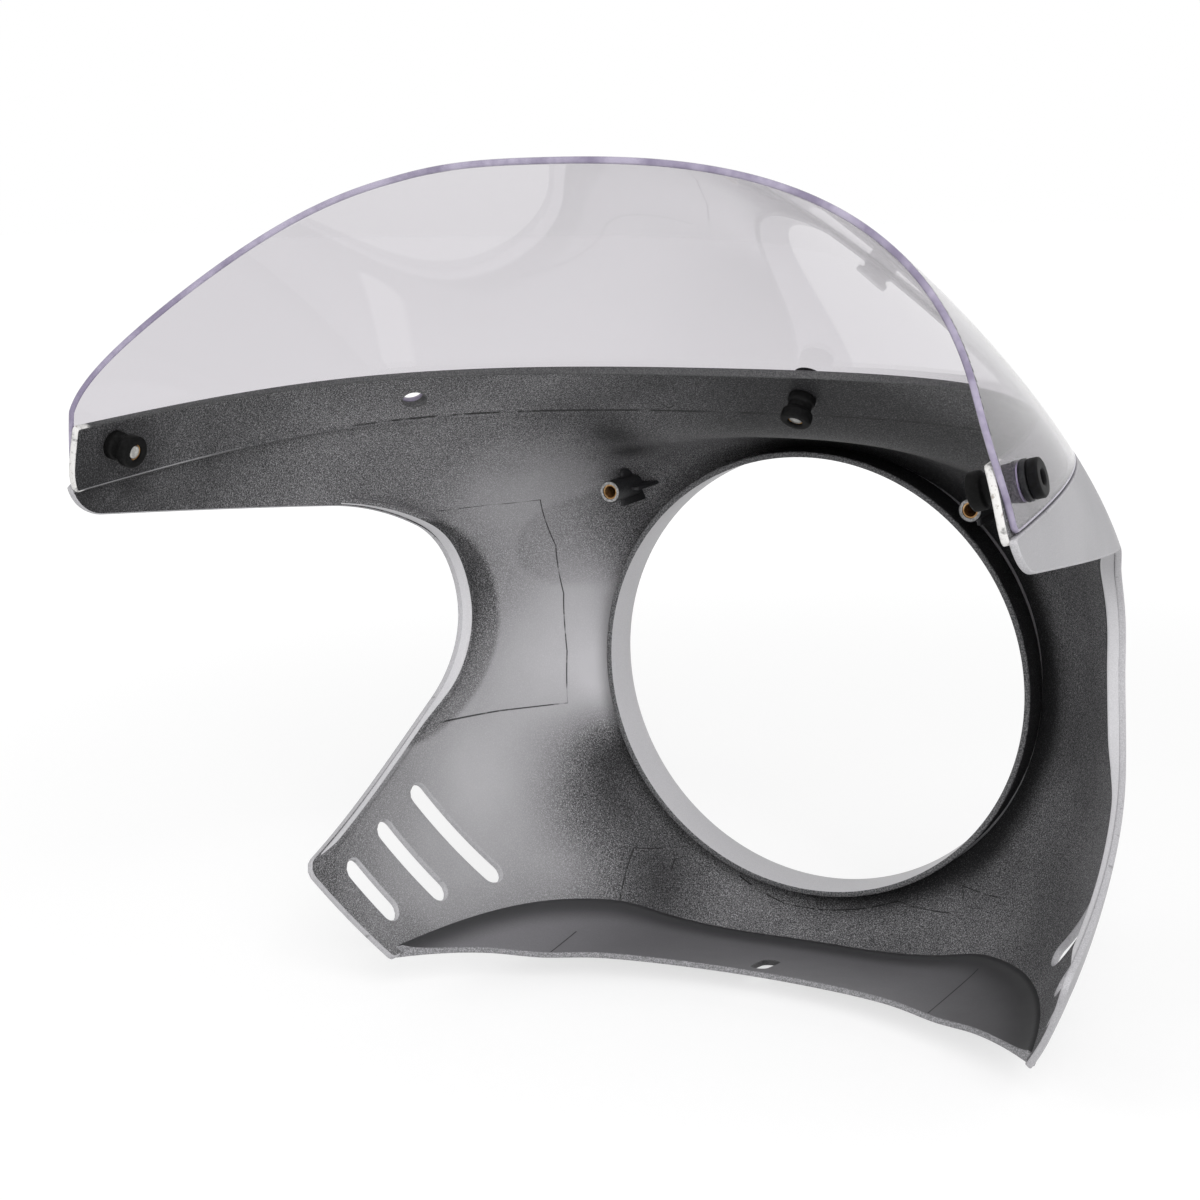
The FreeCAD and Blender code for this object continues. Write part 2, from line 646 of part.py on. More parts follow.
band_inside = "(Sizes.screen_wall + Sizes.seat_gap + Sizes.wall)"
nut_start = "-%s - Sizes.nut_gap" % band_inside
nut_finish = "-%s - Sizes.nut_reach" % band_inside
insert_low = "(%s + Sizes.nut_lip)" % nut_finish
insert_high = "(%s + Sizes.nut_insert_length)" % insert_low
nut = turned_body("nut_master", [
    ("Sizes.nut_bore", "-Sizes.seat_gap"),
    ("Sizes.nut_neck", "-Sizes.seat_gap"),
    ("Sizes.nut_neck", nut_start),
    ("Sizes.nut_base", nut_start),
    ("Sizes.nut_base", nut_start + " - Sizes.nut_base_length"),
    ("Sizes.nut_waist", nut_start + " - Sizes.nut_base_length - Sizes.nut_taper"),
    ("Sizes.nut_waist", nut_finish + " + Sizes.nut_end_length + Sizes.nut_taper"),
    ("Sizes.nut_end", nut_finish + " + Sizes.nut_end_length"),
    ("Sizes.nut_end", nut_finish + " + Sizes.nut_taper"),
    ("Sizes.nut_end - Sizes.nut_taper", nut_finish),
    ("Sizes.nut_bore", nut_finish),
    ("Sizes.nut_bore", insert_low),
    ("Sizes.nut_insert_radius", insert_low),
    ("Sizes.nut_insert_radius", insert_high),
    ("Sizes.nut_bore", insert_high),
])
nut_insert = turned_body("nut_insert_master", [
    ("Sizes.nut_insert_bore", insert_low),
    ("Sizes.nut_insert_radius", insert_low),
    ("Sizes.nut_insert_radius", insert_high),
    ("Sizes.nut_insert_bore", insert_high),
])
washer_top = "(Sizes.washer_gap + Sizes.washer_wall)"
washer = turned_body("washer_master", [
    ("Sizes.washer_bore", "Sizes.washer_gap"),
    ("Sizes.washer_radius", "Sizes.washer_gap"),
    ("Sizes.washer_radius", washer_top + " - Sizes.washer_bevel"),
    ("Sizes.washer_radius - Sizes.washer_bevel", washer_top),
    ("Sizes.washer_bore", washer_top),
])
head_top = "(%s + Sizes.head_height)" % washer_top
screw_blank = turned_body("screw_master", [
    ("0", insert_high + " - Sizes.screw_grip"),
    ("Sizes.screw_radius", insert_high + " - Sizes.screw_grip"),
    ("Sizes.screw_radius", washer_top),
    ("Sizes.head_radius", washer_top),
    ("Sizes.head_radius", head_top + " - Sizes.head_round"),
    ("Sizes.head_radius - Sizes.head_round", head_top),
    ("0", head_top),
])
socket = doc.addObject("Part::Prism", "socket")
socket.Polygon = 6
socket.setExpression("Circumradius", "Sizes.socket_radius")
socket.setExpression("Height", "2 * Sizes.socket_depth")
socket.setExpression("Placement.Base.z", head_top + " - Sizes.socket_depth")
doc.recompute()
screw = cut("screw_with_socket", screw_blank, socket)
boss_insert = turned_body("boss_insert_master", [
    ("Sizes.boss_insert_bore", "-Sizes.boss_insert_recess"),
    ("Sizes.boss_insert_bore", "-Sizes.boss_insert_recess - Sizes.boss_insert_length"),
    ("Sizes.boss_insert_radius", "-Sizes.boss_insert_recess - Sizes.boss_insert_length"),
    ("Sizes.boss_insert_radius", "-Sizes.boss_insert_recess"),
])

at_fixings = [placed(point, normal) for point, normal in fixings]
at_bosses = [placed(Vector(x, -size("boss_back"), size("boss_height")), Vector(0, -1, 0))
             for x in (-size("boss_side"), size("boss_side"))]

nodes = {
    "fairing_shell": fairing,
    "windscreen": windscreen,
    "well_nuts": group("well_nuts", nut, at_fixings),
    "well_nut_inserts": group("well_nut_inserts", nut_insert, at_fixings),
    "screw_washers": group("screw_washers", washer, at_fixings),
    "windscreen_screws": group("windscreen_screws", screw, at_fixings),
    "boss_inserts": group("boss_inserts", boss_insert, at_bosses),
}
for name, node in nodes.items():
    node.Label = name
doc.recompute()

for obj in doc.Objects:
    if "Invalid" in obj.State or "Error" in obj.State:
        raise RuntimeError("%s did not build: %s" % (obj.Name, obj.State))
for name, node in nodes.items():
    if node.Shape.isNull() or not node.Shape.isValid():
        raise RuntimeError("%s has no valid shape" % name)
    print(name, len(node.Shape.Solids), "solids", round(node.Shape.Volume, 1), "mm3", node.Shape.BoundBox)

os.makedirs("parts", exist_ok=True)
for name, node in nodes.items():
    node.Shape.exportStep(os.path.join("parts", name + ".step"))
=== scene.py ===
import bpy
import math
import numpy as np
from mathutils import Matrix, Vector


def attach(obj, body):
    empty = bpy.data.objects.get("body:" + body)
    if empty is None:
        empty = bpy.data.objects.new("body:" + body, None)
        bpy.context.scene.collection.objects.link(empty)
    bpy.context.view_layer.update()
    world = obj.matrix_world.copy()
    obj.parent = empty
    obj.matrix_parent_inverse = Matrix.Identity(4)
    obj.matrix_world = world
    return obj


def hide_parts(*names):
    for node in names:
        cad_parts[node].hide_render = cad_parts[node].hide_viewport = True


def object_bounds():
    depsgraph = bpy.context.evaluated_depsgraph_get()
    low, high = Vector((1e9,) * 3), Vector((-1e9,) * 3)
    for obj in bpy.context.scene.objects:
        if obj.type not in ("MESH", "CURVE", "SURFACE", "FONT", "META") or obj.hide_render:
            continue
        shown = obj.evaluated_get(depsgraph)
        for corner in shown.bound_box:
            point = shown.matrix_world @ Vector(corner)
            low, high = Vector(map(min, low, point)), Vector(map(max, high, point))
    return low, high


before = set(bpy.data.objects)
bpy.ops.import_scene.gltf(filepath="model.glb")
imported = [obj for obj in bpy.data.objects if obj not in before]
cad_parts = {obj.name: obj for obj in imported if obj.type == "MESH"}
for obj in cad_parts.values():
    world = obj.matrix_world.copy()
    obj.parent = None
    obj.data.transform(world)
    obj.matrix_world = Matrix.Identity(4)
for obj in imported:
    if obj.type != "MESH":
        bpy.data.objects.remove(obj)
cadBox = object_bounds()
mm = 0.001
print("frame loaded")

# styling skin, the same values as the solids, in millimetres
skinShape = {
    "ring": 95.0, "noseY": 18.5, "length": 280.0,
    "width": 173.0, "widthReach": 60.0,
    "chin": 183.0, "chinReach": 78.0,
    "shoulder": 77.0, "shoulderReach": 120.0,
    "square": 0.48, "squareReach": 25.0,
    "forehead": 11.3, "foreheadReach": 15.0,
    "brow": 62.0, "browBlend": 9.0, "slope": 0.88, "bow": 0.0012,
}
wallMm = 2.4
screenMm = 2.0
seatGap = 0.2
seatMm = screenMm + seatGap


def grow(start, end, reach, run):
    # nears its end value by the exponential of the run over the reach
    return end - (end - start) * np.exp(-run / reach)


def sectionSizes(run):
    # half width, middle, top, chin and exponent of the superellipse at a run back from the nose
    k = skinShape
    behind = k["browBlend"] * np.log1p(np.exp((run - k["brow"]) / k["browBlend"]))
    top = grow(k["ring"], k["ring"] + k["forehead"], k["foreheadReach"], run)
    return (grow(k["ring"], k["width"], k["widthReach"], run),
            grow(0.0, k["shoulder"], k["shoulderReach"], run),
            top + k["slope"] * behind - k["bow"] * behind ** 2,
            grow(k["ring"], k["chin"], k["chinReach"], run),
            grow(2.0, 2.0 + k["square"], k["squareReach"], run))


def insetSizes(run, inset):
    # the same sizes, each drawn in by the wall times the length of its slope
    ahead, behind = sectionSizes(np.maximum(run - 0.5, 0)), sectionSizes(run + 0.5)
    span = 0.5 + np.minimum(run, 0.5)
    width, middle, top, chin, power = sectionSizes(run)
    draw = [inset * np.hypot(1, (behind[i] - ahead[i]) / span) for i in (0, 2, 3)]
    return width - draw[0], middle, top - draw[1], chin - draw[2], power


def skinPoints(run, turn, inset):
    # superellipse: x = width cos^(2/n), z = middle + rise or drop times sin^(2/n)
    width, middle, top, chin, power = insetSizes(run, inset)
    c, s = np.cos(turn), np.sin(turn)
    x = width * np.sign(c) * np.abs(c) ** (2 / power)
    reach = np.where(s > 0, top - middle, middle + chin)
    z = middle + reach * np.sign(s) * np.abs(s) ** (2 / power)
    return np.stack([x, skinShape["noseY"] - run + 0 * x, z], -1)


def skinSide(y, z, inset):
    # half width of the skin where a side view point meets it
    width, middle, top, chin, power = insetSizes(skinShape["noseY"] - y, inset)
    reach = np.where(z > middle, top - middle, middle + chin)
    return width * np.maximum(1 - (np.abs(z - middle) / reach) ** power, 0) ** (1 / power)


def insideSkin(points, inset):
    # rough distance in from the skin, from the superellipse's own value
    run = np.maximum(skinShape["noseY"] - points[..., 1], 0)
    width, middle, top, chin, power = insetSizes(run, inset)
    reach = np.where(points[..., 2] > middle, top - middle, middle + chin)
    value = (np.abs(points[..., 0] / width) ** power + np.abs((points[..., 2] - middle) / reach) ** power)
    return (1 - value ** (1 / power)) * np.hypot(points[..., 0], points[..., 2])


def skinDepth(x, z, inset):
    # how far forward a line along Y can go before it meets the skin, by halving
    low, high = np.full(np.shape(x), -120.0), np.full(np.shape(x), skinShape["noseY"])
    for _ in range(40):
        middle = (low + high) / 2
        clear = insideSkin(np.stack([x, middle, z], -1), inset) > 0
        low, high = np.where(clear, middle, low), np.where(clear, high, middle)
    return low


def arcPoints(centre, radius, first, last, count):
    # points evenly turned about a centre, from one angle to another
    turn = np.radians(np.linspace(first, last, count))
    return np.stack([centre[0] + radius * np.cos(turn), centre[1] + radius * np.sin(turn)], -1)


def filletPoints(before, corner, after, radius, count=9):
    # arc tangent to both sides of a corner
    u, v = before - corner, after - corner
    u, v = u / np.linalg.norm(u), v / np.linalg.norm(v)
    half = math.acos(np.clip(u @ v, -1, 1)) / 2
    middle = corner + (u + v) / np.linalg.norm(u + v) * radius / math.sin(half)
    first, last = corner + u * radius / math.tan(half), corner + v * radius / math.tan(half)
    a, b = first - middle, last - middle
    t = np.linspace(0, 1, count)[:, None]
    ray = a * (1 - t) + b * t
    return middle + ray / np.linalg.norm(ray, axis=1)[:, None] * radius


def bezierPoints(first, second, third, last, count):
    # cubic curve: four corners, each with its share of the way along
    t = np.linspace(0, 1, count)[:, None]
    shares = ((1 - t) ** 3, 3 * t * (1 - t) ** 2, 3 * t ** 2 * (1 - t), t ** 3)
    return sum(share * np.array(corner) for share, corner in zip(shares, (first, second, third, last)))


def easeIn(value):
    # smooth step from nought to one
    t = np.clip(value, 0, 1)
    return t * t * (3 - 2 * t)


def outlineField(y, z, outline):
    # signed distance to a closed outline, positive outside
    best = np.full(y.shape, 1e9)
    inside = np.zeros(y.shape, bool)
    for (y0, z0), (y1, z1) in zip(outline, np.roll(outline, -1, axis=0)):
        dy, dz = y1 - y0, z1 - z0
        t = np.clip(((y - y0) * dy + (z - z0) * dz) / (dy * dy + dz * dz + 1e-12), 0, 1)
        best = np.minimum(best, np.hypot(y - y0 - t * dy, z - z0 - t * dz))
        crosses = (z0 > z) != (z1 > z)
        inside ^= crosses & (y < (z - z0) * dy / (dz if abs(dz) > 1e-9 else 1e-9) + y0)
    return np.where(inside, -best, best)


def slotField(p, q, first, last, width):
    # distance outside a slot with round ends
    d = np.array(last) - np.array(first)
    t = np.clip(((p - first[0]) * d[0] + (q - first[1]) * d[1]) / (d @ d), 0, 1)
    return np.hypot(p - first[0] - t * d[0], q - first[1] - t * d[1]) - width / 2


# joggle line, band and windscreen edges in side view
seatLine = {"height": 125.3, "fall": 0.0486, "gap": 0.6, "band": 16.6, "flare": 0.0176}


def joggleAt(y):
    # straight line that falls to the rear
    return seatLine["height"] + seatLine["fall"] * y


def bandTopAt(y):
    # a band's width over the joggle line, wider to the rear
    return joggleAt(y) + seatLine["band"] - seatLine["flare"] * y


# handlebar cut-out, arm end and wing, in side view
cutout = {
    "back": 41.4, "height": 28.0, "radius": 47.0, "up": 60.0, "down": -50.0,
    "armRadius": 120.0, "armFall": 7.7, "armBack": 250.0, "armCorner": 20.0,
    "wingRadius": 250.0, "wingTurn": 23.5, "tip": (-121.0, -102.0), "wingCorner": 5.0,
    "returnDepth": 6.2,
}
farAway = 500.0
cutCentre = np.array([-cutout["back"] - cutout["radius"], cutout["height"]])


def onArc(centre, radius, turn):
    # one point of a circle, by its angle in degrees
    return centre + radius * np.array([math.cos(math.radians(turn)), math.sin(math.radians(turn))])


armCentre = onArc(cutCentre, cutout["radius"] - cutout["armRadius"], cutout["up"])
wingCentre = onArc(cutCentre, cutout["radius"] - cutout["wingRadius"], cutout["down"])
armTurn, wingTurn = 90 - cutout["armFall"], cutout["down"] - cutout["wingTurn"]


def cutoutOutline():
    # arm end, arm edge, three tangent arcs, wing corner and wing rear edge, closed behind
    k = cutout
    armEnd = onArc(armCentre, k["armRadius"], armTurn)
    lower = np.array([-k["armBack"],
                      armEnd[1] + math.tan(math.radians(k["armFall"])) * (armEnd[0] + k["armBack"])])
    top = np.array([-k["armBack"], farAway])
    wingEnd = onArc(wingCentre, k["wingRadius"], wingTurn)
    tip = np.array(k["tip"])
    far = tip + (tip - wingEnd) * 2
    along = onArc(wingCentre, k["wingRadius"], wingTurn + 1)
    return np.concatenate([
        [top],
        filletPoints(top, lower, armEnd, k["armCorner"], 15),
        arcPoints(armCentre, k["armRadius"], armTurn, k["up"], 12),
        arcPoints(cutCentre, k["radius"], k["up"], k["down"], 60)[1:],
        arcPoints(wingCentre, k["wingRadius"], k["down"], wingTurn + 1.2, 16)[1:],
        filletPoints(along, wingEnd, tip, k["wingCorner"]),
        [far, [-farAway, far[1]], [-farAway, farAway]],
    ])


wingSlots = {"width": 8.4, "length": 43.6, "step": 10.9, "pitch": 28.0, "angle": 62.4, "back": 55.8, "low": -84.5}
chinShelf = {
    "x": (0.0, 62.0, 84.0, 105.0, 200.0),
    "front": (-117.0, -112.0, -104.5, -101.0, -101.0), "rear": (-99.0, -100.8, -103.5, -100.5, -100.5),
    "reference": 100.0, "back": 64.0, "radius": 192.0,
    "slotLength": 18.0, "slotWidth": 7.0, "slotBack": 49.0,
}
slotHalf = (chinShelf["slotLength"] - chinShelf["slotWidth"]) / 2


def shelfHeight(x, y):
    # cubic through the half-width stations, straight from front to rear
    k = chinShelf
    share = -y / k["reference"]
    xs = np.array(k["x"])
    px = np.concatenate([[-xs[1]], xs])
    i = np.clip(np.searchsorted(px, np.abs(x), side="right") - 1, 1, len(px) - 2)

    def line(z):
        z = np.array(z)
        pz = np.concatenate([[z[1]], z])
        slope = np.gradient(pz, px)
        slope[-1] = 0
        h = px[i + 1] - px[i]
        t = (np.abs(x) - px[i]) / h
        return ((2 * t ** 3 - 3 * t ** 2 + 1) * pz[i] + (t ** 3 - 2 * t ** 2 + t) * h * slope[i]
                + (3 * t ** 2 - 2 * t ** 3) * pz[i + 1] + (t ** 3 - t ** 2) * h * slope[i + 1])

    return line(k["front"]) * (1 - share) + line(k["rear"]) * share


# fixings: back along the skin and turn round the section, on the outer skin
fixingPlaces = {"end": (231.0, 16.6), "front": (73.9, 81.5), "empty": (103.4, 45.9)}


def fixingFrame(place, mirror):
    # point on the skin, and the cross product of two small steps over it as its outward direction
    run = skinShape["noseY"] + fixingPlaces[place][0]
    turn = math.radians(fixingPlaces[place][1])
    step = 0.01
    at = [skinPoints(np.array(run + a), np.array(turn + b), 0.0)
          for a, b in ((0, 0), (step, 0), (-step, 0), (0, step), (0, -step))]
    normal = np.cross(at[1] - at[2], at[3] - at[4])
    normal /= np.linalg.norm(normal)
    if normal @ np.array([at[0][0], 0, at[0][2]]) < 0:
        normal = -normal
    flip = np.array([-1.0 if mirror else 1.0, 1, 1])
    return at[0] * flip, normal * flip


fittedFixings = [fixingFrame("end", False), fixingFrame("front", False), fixingFrame("end", True)]
emptyFixing = fixingFrame("empty", True)
holeRadius = 4.8
emptyRadius = 4.4


def holeField(points):
    # distance outside every fixing hole, measured from its axis
    best = np.full(points.shape[:-1], 1e9)
    reach = 20.0
    holes = [(*fixed, holeRadius) for fixed in fittedFixings] + [(*emptyFixing, emptyRadius)]
    for at, normal, radius in holes:
        offset = points - at
        along = offset @ normal
        across = np.linalg.norm(offset - along[..., None] * normal, axis=-1)
        best = np.minimum(best, np.where(np.abs(along) < reach, across - radius, 1e9))
    return best


def trimGrid(field, closed):
    # keeps the cells where the field is positive and cuts the cells it crosses
    nu, nv = field.shape
    ids = np.arange(nu * nv).reshape(nu, nv)
    after = np.roll(ids, -1, 0) if closed else ids[1:]
    row = ids if closed else ids[:-1]
    cells = np.stack([row[:, :-1], after[:, :-1], after[:, 1:], row[:, 1:]], -1).reshape(-1, 4)
    g = field.ravel()
    keep = g[cells] > 0
    quads = cells[keep.all(1)]
    mixed = cells[keep.any(1) & ~keep.all(1)]
    tris = np.concatenate([mixed[:, [0, 1, 2]], mixed[:, [0, 2, 3]]])
    inside = g[tris] > 0
    count = inside.sum(1)
    whole = tris[count == 3]

    def turned(group, lone):
        first = np.argmax(lone, axis=1)
        order = (first[:, None] + np.arange(3)) % 3
        return np.take_along_axis(group, order, 1)

    one = turned(tris[count == 1], inside[count == 1])
    two = turned(tris[count == 2], ~inside[count == 2])
    pairs = np.concatenate([one[:, [0, 1]], one[:, [0, 2]], two[:, [0, 1]], two[:, [0, 2]]])
    ordered = np.sort(pairs, 1)
    unique, back = np.unique(ordered, axis=0, return_inverse=True)
    back = back.ravel() + nu * nv
    a, b, c, d = np.split(back, np.cumsum([len(one), len(one), len(two)]))
    cutTris = np.stack([one[:, 0], a, b], -1)
    cutQuads = np.stack([c, two[:, 1], two[:, 2], d], -1)
    share = g[unique[:, 0]] / (g[unique[:, 0]] - g[unique[:, 1]])
    return np.concatenate([quads, cutQuads]), np.concatenate([whole, cutTris]), unique, share


def addObject(name, data):
    obj = bpy.data.objects.new(name, data)
    bpy.context.scene.collection.objects.link(obj)
    return obj


def putMesh(name, points, quads, tris, slots, materials, values=None, sharp=35.0):
    # mesh in metres from points in millimetres, without the points that no face uses
    used = np.zeros(len(points), bool)
    for group in (quads, tris):
        used[group.ravel()] = True
    renumber = np.cumsum(used) - 1
    faces = [renumber[quads], renumber[tris]]
    mesh = bpy.data.meshes.new(name)
    mesh.vertices.add(int(used.sum()))
    mesh.vertices.foreach_set("co", (points[used] * mm).astype(np.float32).ravel())
    loops = np.concatenate([f.ravel() for f in faces]).astype(np.int32)
    starts = np.concatenate([np.arange(len(faces[0])) * 4,
                             len(faces[0]) * 4 + np.arange(len(faces[1])) * 3]).astype(np.int32)
    mesh.loops.add(len(loops))
    mesh.loops.foreach_set("vertex_index", loops)
    mesh.polygons.add(len(starts))
    mesh.polygons.foreach_set("loop_start", starts)
    mesh.polygons.foreach_set("material_index", np.asarray(slots, np.int32))
    for key, value in (values or {}).items():
        layer = mesh.attributes.new(key, "FLOAT", "POINT")
        layer.data.foreach_set("value", value[used].astype(np.float32))
    mesh.update(calc_edges=True)
    mesh.validate()
    mesh.shade_smooth()
    mesh.set_sharp_from_angle(angle=math.radians(sharp))
    for material in materials:
        mesh.materials.append(material)
    obj = addObject(name, mesh)
    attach(obj, "root")
    return obj


def trimmedShell(name, outer, inner, field, closed, materials, round=0.6, plainRim=None, extra=None, steps=4):
    # two sheets over one grid, trimmed by the field, joined by a rim with rounded corners
    field = field - round
    quads, tris, pairs, share = trimGrid(field, closed)

    def withCuts(flat, part):
        return np.concatenate([flat, flat[pairs[:, 0]] * (1 - part) + flat[pairs[:, 1]] * part])

    top, bottom = (withCuts(sheet.reshape(-1, 3), share[:, None]) for sheet in (outer, inner))
    count = len(top)
    edges = np.concatenate([np.stack([f, np.roll(f, -1, 1)], -1).reshape(-1, 2) for f in (quads, tris)])
    key, reverse = edges[:, 0] * count + edges[:, 1], edges[:, 1] * count + edges[:, 0]
    border = edges[~np.isin(key, reverse)]
    after, before = np.full(count, -1), np.full(count, -1)
    after[border[:, 0]] = border[:, 1]
    before[border[:, 1]] = border[:, 0]
    rim = np.unique(border)
    through = bottom[rim] - top[rim]
    depth = np.linalg.norm(through, axis=1, keepdims=True)
    through /= depth
    spot = np.full(count, 0)
    spot[rim] = np.arange(len(rim))
    ahead, behind = spot[np.maximum(after[rim], 0)], spot[np.maximum(before[rim], 0)]
    tangent = top[rim][ahead] - top[rim][behind]
    for _ in range(3):
        tangent = tangent[ahead] + 2 * tangent + tangent[behind]
    out = np.cross(tangent, -through)
    out /= np.linalg.norm(out, axis=1, keepdims=True) + 1e-9
    turn = np.linspace(0, math.pi / 2, steps + 1)[1:]
    profile = [(round * math.sin(t), round * (1 - math.cos(t)), 0) for t in turn]
    profile += [(round * math.sin(t), round * (1 - math.cos(t)), 1) for t in turn[::-1]]
    rows = [top[rim] + out * a + through * (depth * d + b * (1 - 2 * d)) for a, b, d in profile]
    points = np.concatenate([top, bottom] + rows)
    between = [2 * count + i * len(rim) + np.arange(len(rim)) for i in range(len(rows))]
    rowIds = [rim] + between + [rim + count]
    rimQuads = []
    first, last = spot[border[:, 0]], spot[border[:, 1]]
    for upper, lower in zip(rowIds[:-1], rowIds[1:]):
        rimQuads.append(np.stack([upper[last], upper[first], lower[first], lower[last]], -1))
    rimQuads = np.concatenate(rimQuads)
    allQuads = np.concatenate([quads, quads[:, ::-1] + count, rimQuads])
    allTris = np.concatenate([tris, tris[:, ::-1] + count])
    rimSlots = np.full(len(border), 2)
    if plainRim is not None:
        rimSlots[plainRim((top[border[:, 0]] + bottom[border[:, 1]]) / 2)] = 1
    slots = np.concatenate([
        np.zeros(len(quads)), np.ones(len(quads)), np.tile(rimSlots, len(rowIds) - 1),
        np.zeros(len(tris)), np.ones(len(tris))])
    values = {}
    for key, grid in (extra or {}).items():
        flat = withCuts(grid.ravel(), share)
        values[key] = np.concatenate([flat, flat] + [flat[rim]] * len(rows))
    return putMesh(name, points, allQuads, allTris, slots, materials, values)


def closedGrid(name, points, materials, slots=None, wrapU=False, wrapV=True, sharp=35.0, caps=False):
    # one grid surface, wrapped where it closes on itself
    nu, nv = points.shape[:2]
    ids = np.arange(nu * nv).reshape(nu, nv)
    a = ids if wrapU else ids[:-1]
    b = np.roll(ids, -1, 0) if wrapU else ids[1:]
    if wrapV:
        a2, b2 = np.roll(a, -1, 1), np.roll(b, -1, 1)
    else:
        a, b, a2, b2 = a[:, :-1], b[:, :-1], a[:, 1:], b[:, 1:]
    quads = np.stack([a, b, b2, a2], -1).reshape(-1, 4)
    flat = points.reshape(-1, 3)
    tris = np.zeros((0, 3), int)
    if caps:
        middle = [flat[ids[0]].mean(0), flat[ids[-1]].mean(0)]
        first, last = len(flat), len(flat) + 1
        flat = np.concatenate([flat, middle])
        ring = np.arange(nv)
        tris = np.concatenate([
            np.stack([np.full(nv, first), ids[0][ring], ids[0][np.roll(ring, -1)]], -1),
            np.stack([np.full(nv, last), ids[-1][np.roll(ring, -1)], ids[-1][ring]], -1)])
    faceSlots = np.zeros(len(quads) + len(tris)) if slots is None else np.concatenate([
        np.broadcast_to(slots, a.shape).ravel(), np.zeros(len(tris))])
    return putMesh(name, flat, quads, tris, faceSlots, materials, sharp=sharp)


def axisFrame(at, normal):
    # a point, two directions square to its axis, and the axis
    side = np.cross([0.0, 0, 1] if abs(normal[2]) < 0.9 else [1.0, 0, 0], normal)
    side /= np.linalg.norm(side)
    return np.array(at), side, np.cross(normal, side), np.array(normal)


def roundedProfile(corners, radius, steps=3):
    # polyline of radius and height, each inner corner given a small arc
    corners = np.array(corners, float)
    out = [corners[:1]]
    for before, corner, after in zip(corners[:-2], corners[1:-1], corners[2:]):
        room = 0.45 * min(np.linalg.norm(before - corner), np.linalg.norm(after - corner))
        u, v = before - corner, after - corner
        half = math.acos(np.clip(u @ v / np.linalg.norm(u) / np.linalg.norm(v), -1, 1)) / 2
        if half > 1.5 or half < 0.05:
            out.append(corner[None])
        else:
            out.append(filletPoints(before, corner, after, min(radius, room * math.tan(half)), steps + 1))
    out.append(corners[-1:])
    return np.concatenate(out)


def turnedPiece(name, profile, axis, materials, around=64, close=True, sharp=50.0):
    # profile of radius and height carried round an axis
    at, side, up, normal = axis
    turn = np.linspace(0, 2 * math.pi, around, endpoint=False)
    ring = np.cos(turn)[:, None] * side + np.sin(turn)[:, None] * up
    points = at + profile[None, :, 0, None] * ring[:, None] + profile[None, :, 1, None] * normal
    return closedGrid(name, points, materials, wrapU=True, wrapV=close, sharp=sharp)


def joined(name, pieces):
    # several meshes of one finish become one piece
    bpy.ops.object.select_all(action="DESELECT")
    for piece in pieces:
        piece.select_set(True)
    bpy.context.view_layer.objects.active = pieces[0]
    bpy.ops.object.join()
    pieces[0].name = name
    return pieces[0]


# material helpers


def addNode(tree, kind, **settings):
    node = tree.nodes.new(kind)
    for key, value in settings.items():
        setattr(node, key, value)
    return node


def link(tree, source, target):
    tree.links.new(source, target)


def setSocket(tree, socket, value):
    # a number or a colour is set, anything else is linked
    if isinstance(value, (int, float)):
        socket.default_value = value
    elif isinstance(value, tuple):
        socket.default_value = (*value, 1.0)
    else:
        link(tree, value, socket)


def mathNode(tree, operation, *values, clamp=False):
    node = addNode(tree, "ShaderNodeMath", operation=operation, use_clamp=clamp)
    for socket, value in zip(node.inputs, values):
        setSocket(tree, socket, value)
    return node.outputs[0]


def mapRange(tree, value, low, high, toLow=0.0, toHigh=1.0):
    node = addNode(tree, "ShaderNodeMapRange", clamp=True, interpolation_type="SMOOTHSTEP")
    link(tree, value, node.inputs["Value"])
    for key, number in (("From Min", low), ("From Max", high), ("To Min", toLow), ("To Max", toHigh)):
        node.inputs[key].default_value = number
    return node.outputs["Result"]


def mixColour(tree, factor, first, second):
    # a Mix node set to colour has its factor at 0, its colours at 6 and 7 and its result at 2
    node = addNode(tree, "ShaderNodeMix", data_type="RGBA")
    for place, value in ((0, factor), (6, first), (7, second)):
        setSocket(tree, node.inputs[place], value)
    return node.outputs[2]


def splitAxes(tree, vector):
    node = addNode(tree, "ShaderNodeSeparateXYZ")
    link(tree, vector, node.inputs[0])
    return [node.outputs[axis] for axis in "XYZ"]


def noise(tree, vector, scale, detail=2.0, rough=0.5):
    node = addNode(tree, "ShaderNodeTexNoise")
    setSocket(tree, node.inputs["Scale"], scale)
    node.inputs["Detail"].default_value = detail
    node.inputs["Roughness"].default_value = rough
    link(tree, vector, node.inputs["Vector"])
    return node.outputs["Fac"]


def newGroup(name, inputs, outputs):
    tree = bpy.data.node_groups.new(name, "ShaderNodeTree")
    for label, kind in inputs.items():
        tree.interface.new_socket(label, in_out="INPUT", socket_type="NodeSocket" + kind)
    for label in outputs:
        tree.interface.new_socket(label, in_out="OUTPUT", socket_type="NodeSocketFloat")
    return tree, addNode(tree, "NodeGroupInput"), addNode(tree, "NodeGroupOutput")


def mistShadeZoneGroup():
    # soft round patch, for the mist and for painted light and shade: one in the middle, falling with the scaled
    # distance
    tree, start, end = newGroup("mistShadeZone", {"Vector": "Vector", "Centre": "Vector", "Reach": "Float"}, ["Mask"])
    away = addNode(tree, "ShaderNodeVectorMath", operation="DISTANCE")
    link(tree, start.outputs["Vector"], away.inputs[0])
    link(tree, start.outputs["Centre"], away.inputs[1])
    ratio = mathNode(tree, "DIVIDE", away.outputs["Value"], start.outputs["Reach"])
    square = mathNode(tree, "MULTIPLY", ratio, ratio)
    link(tree, mathNode(tree, "EXPONENT", mathNode(tree, "MULTIPLY", square, -1.0)), end.inputs["Mask"])
    return tree


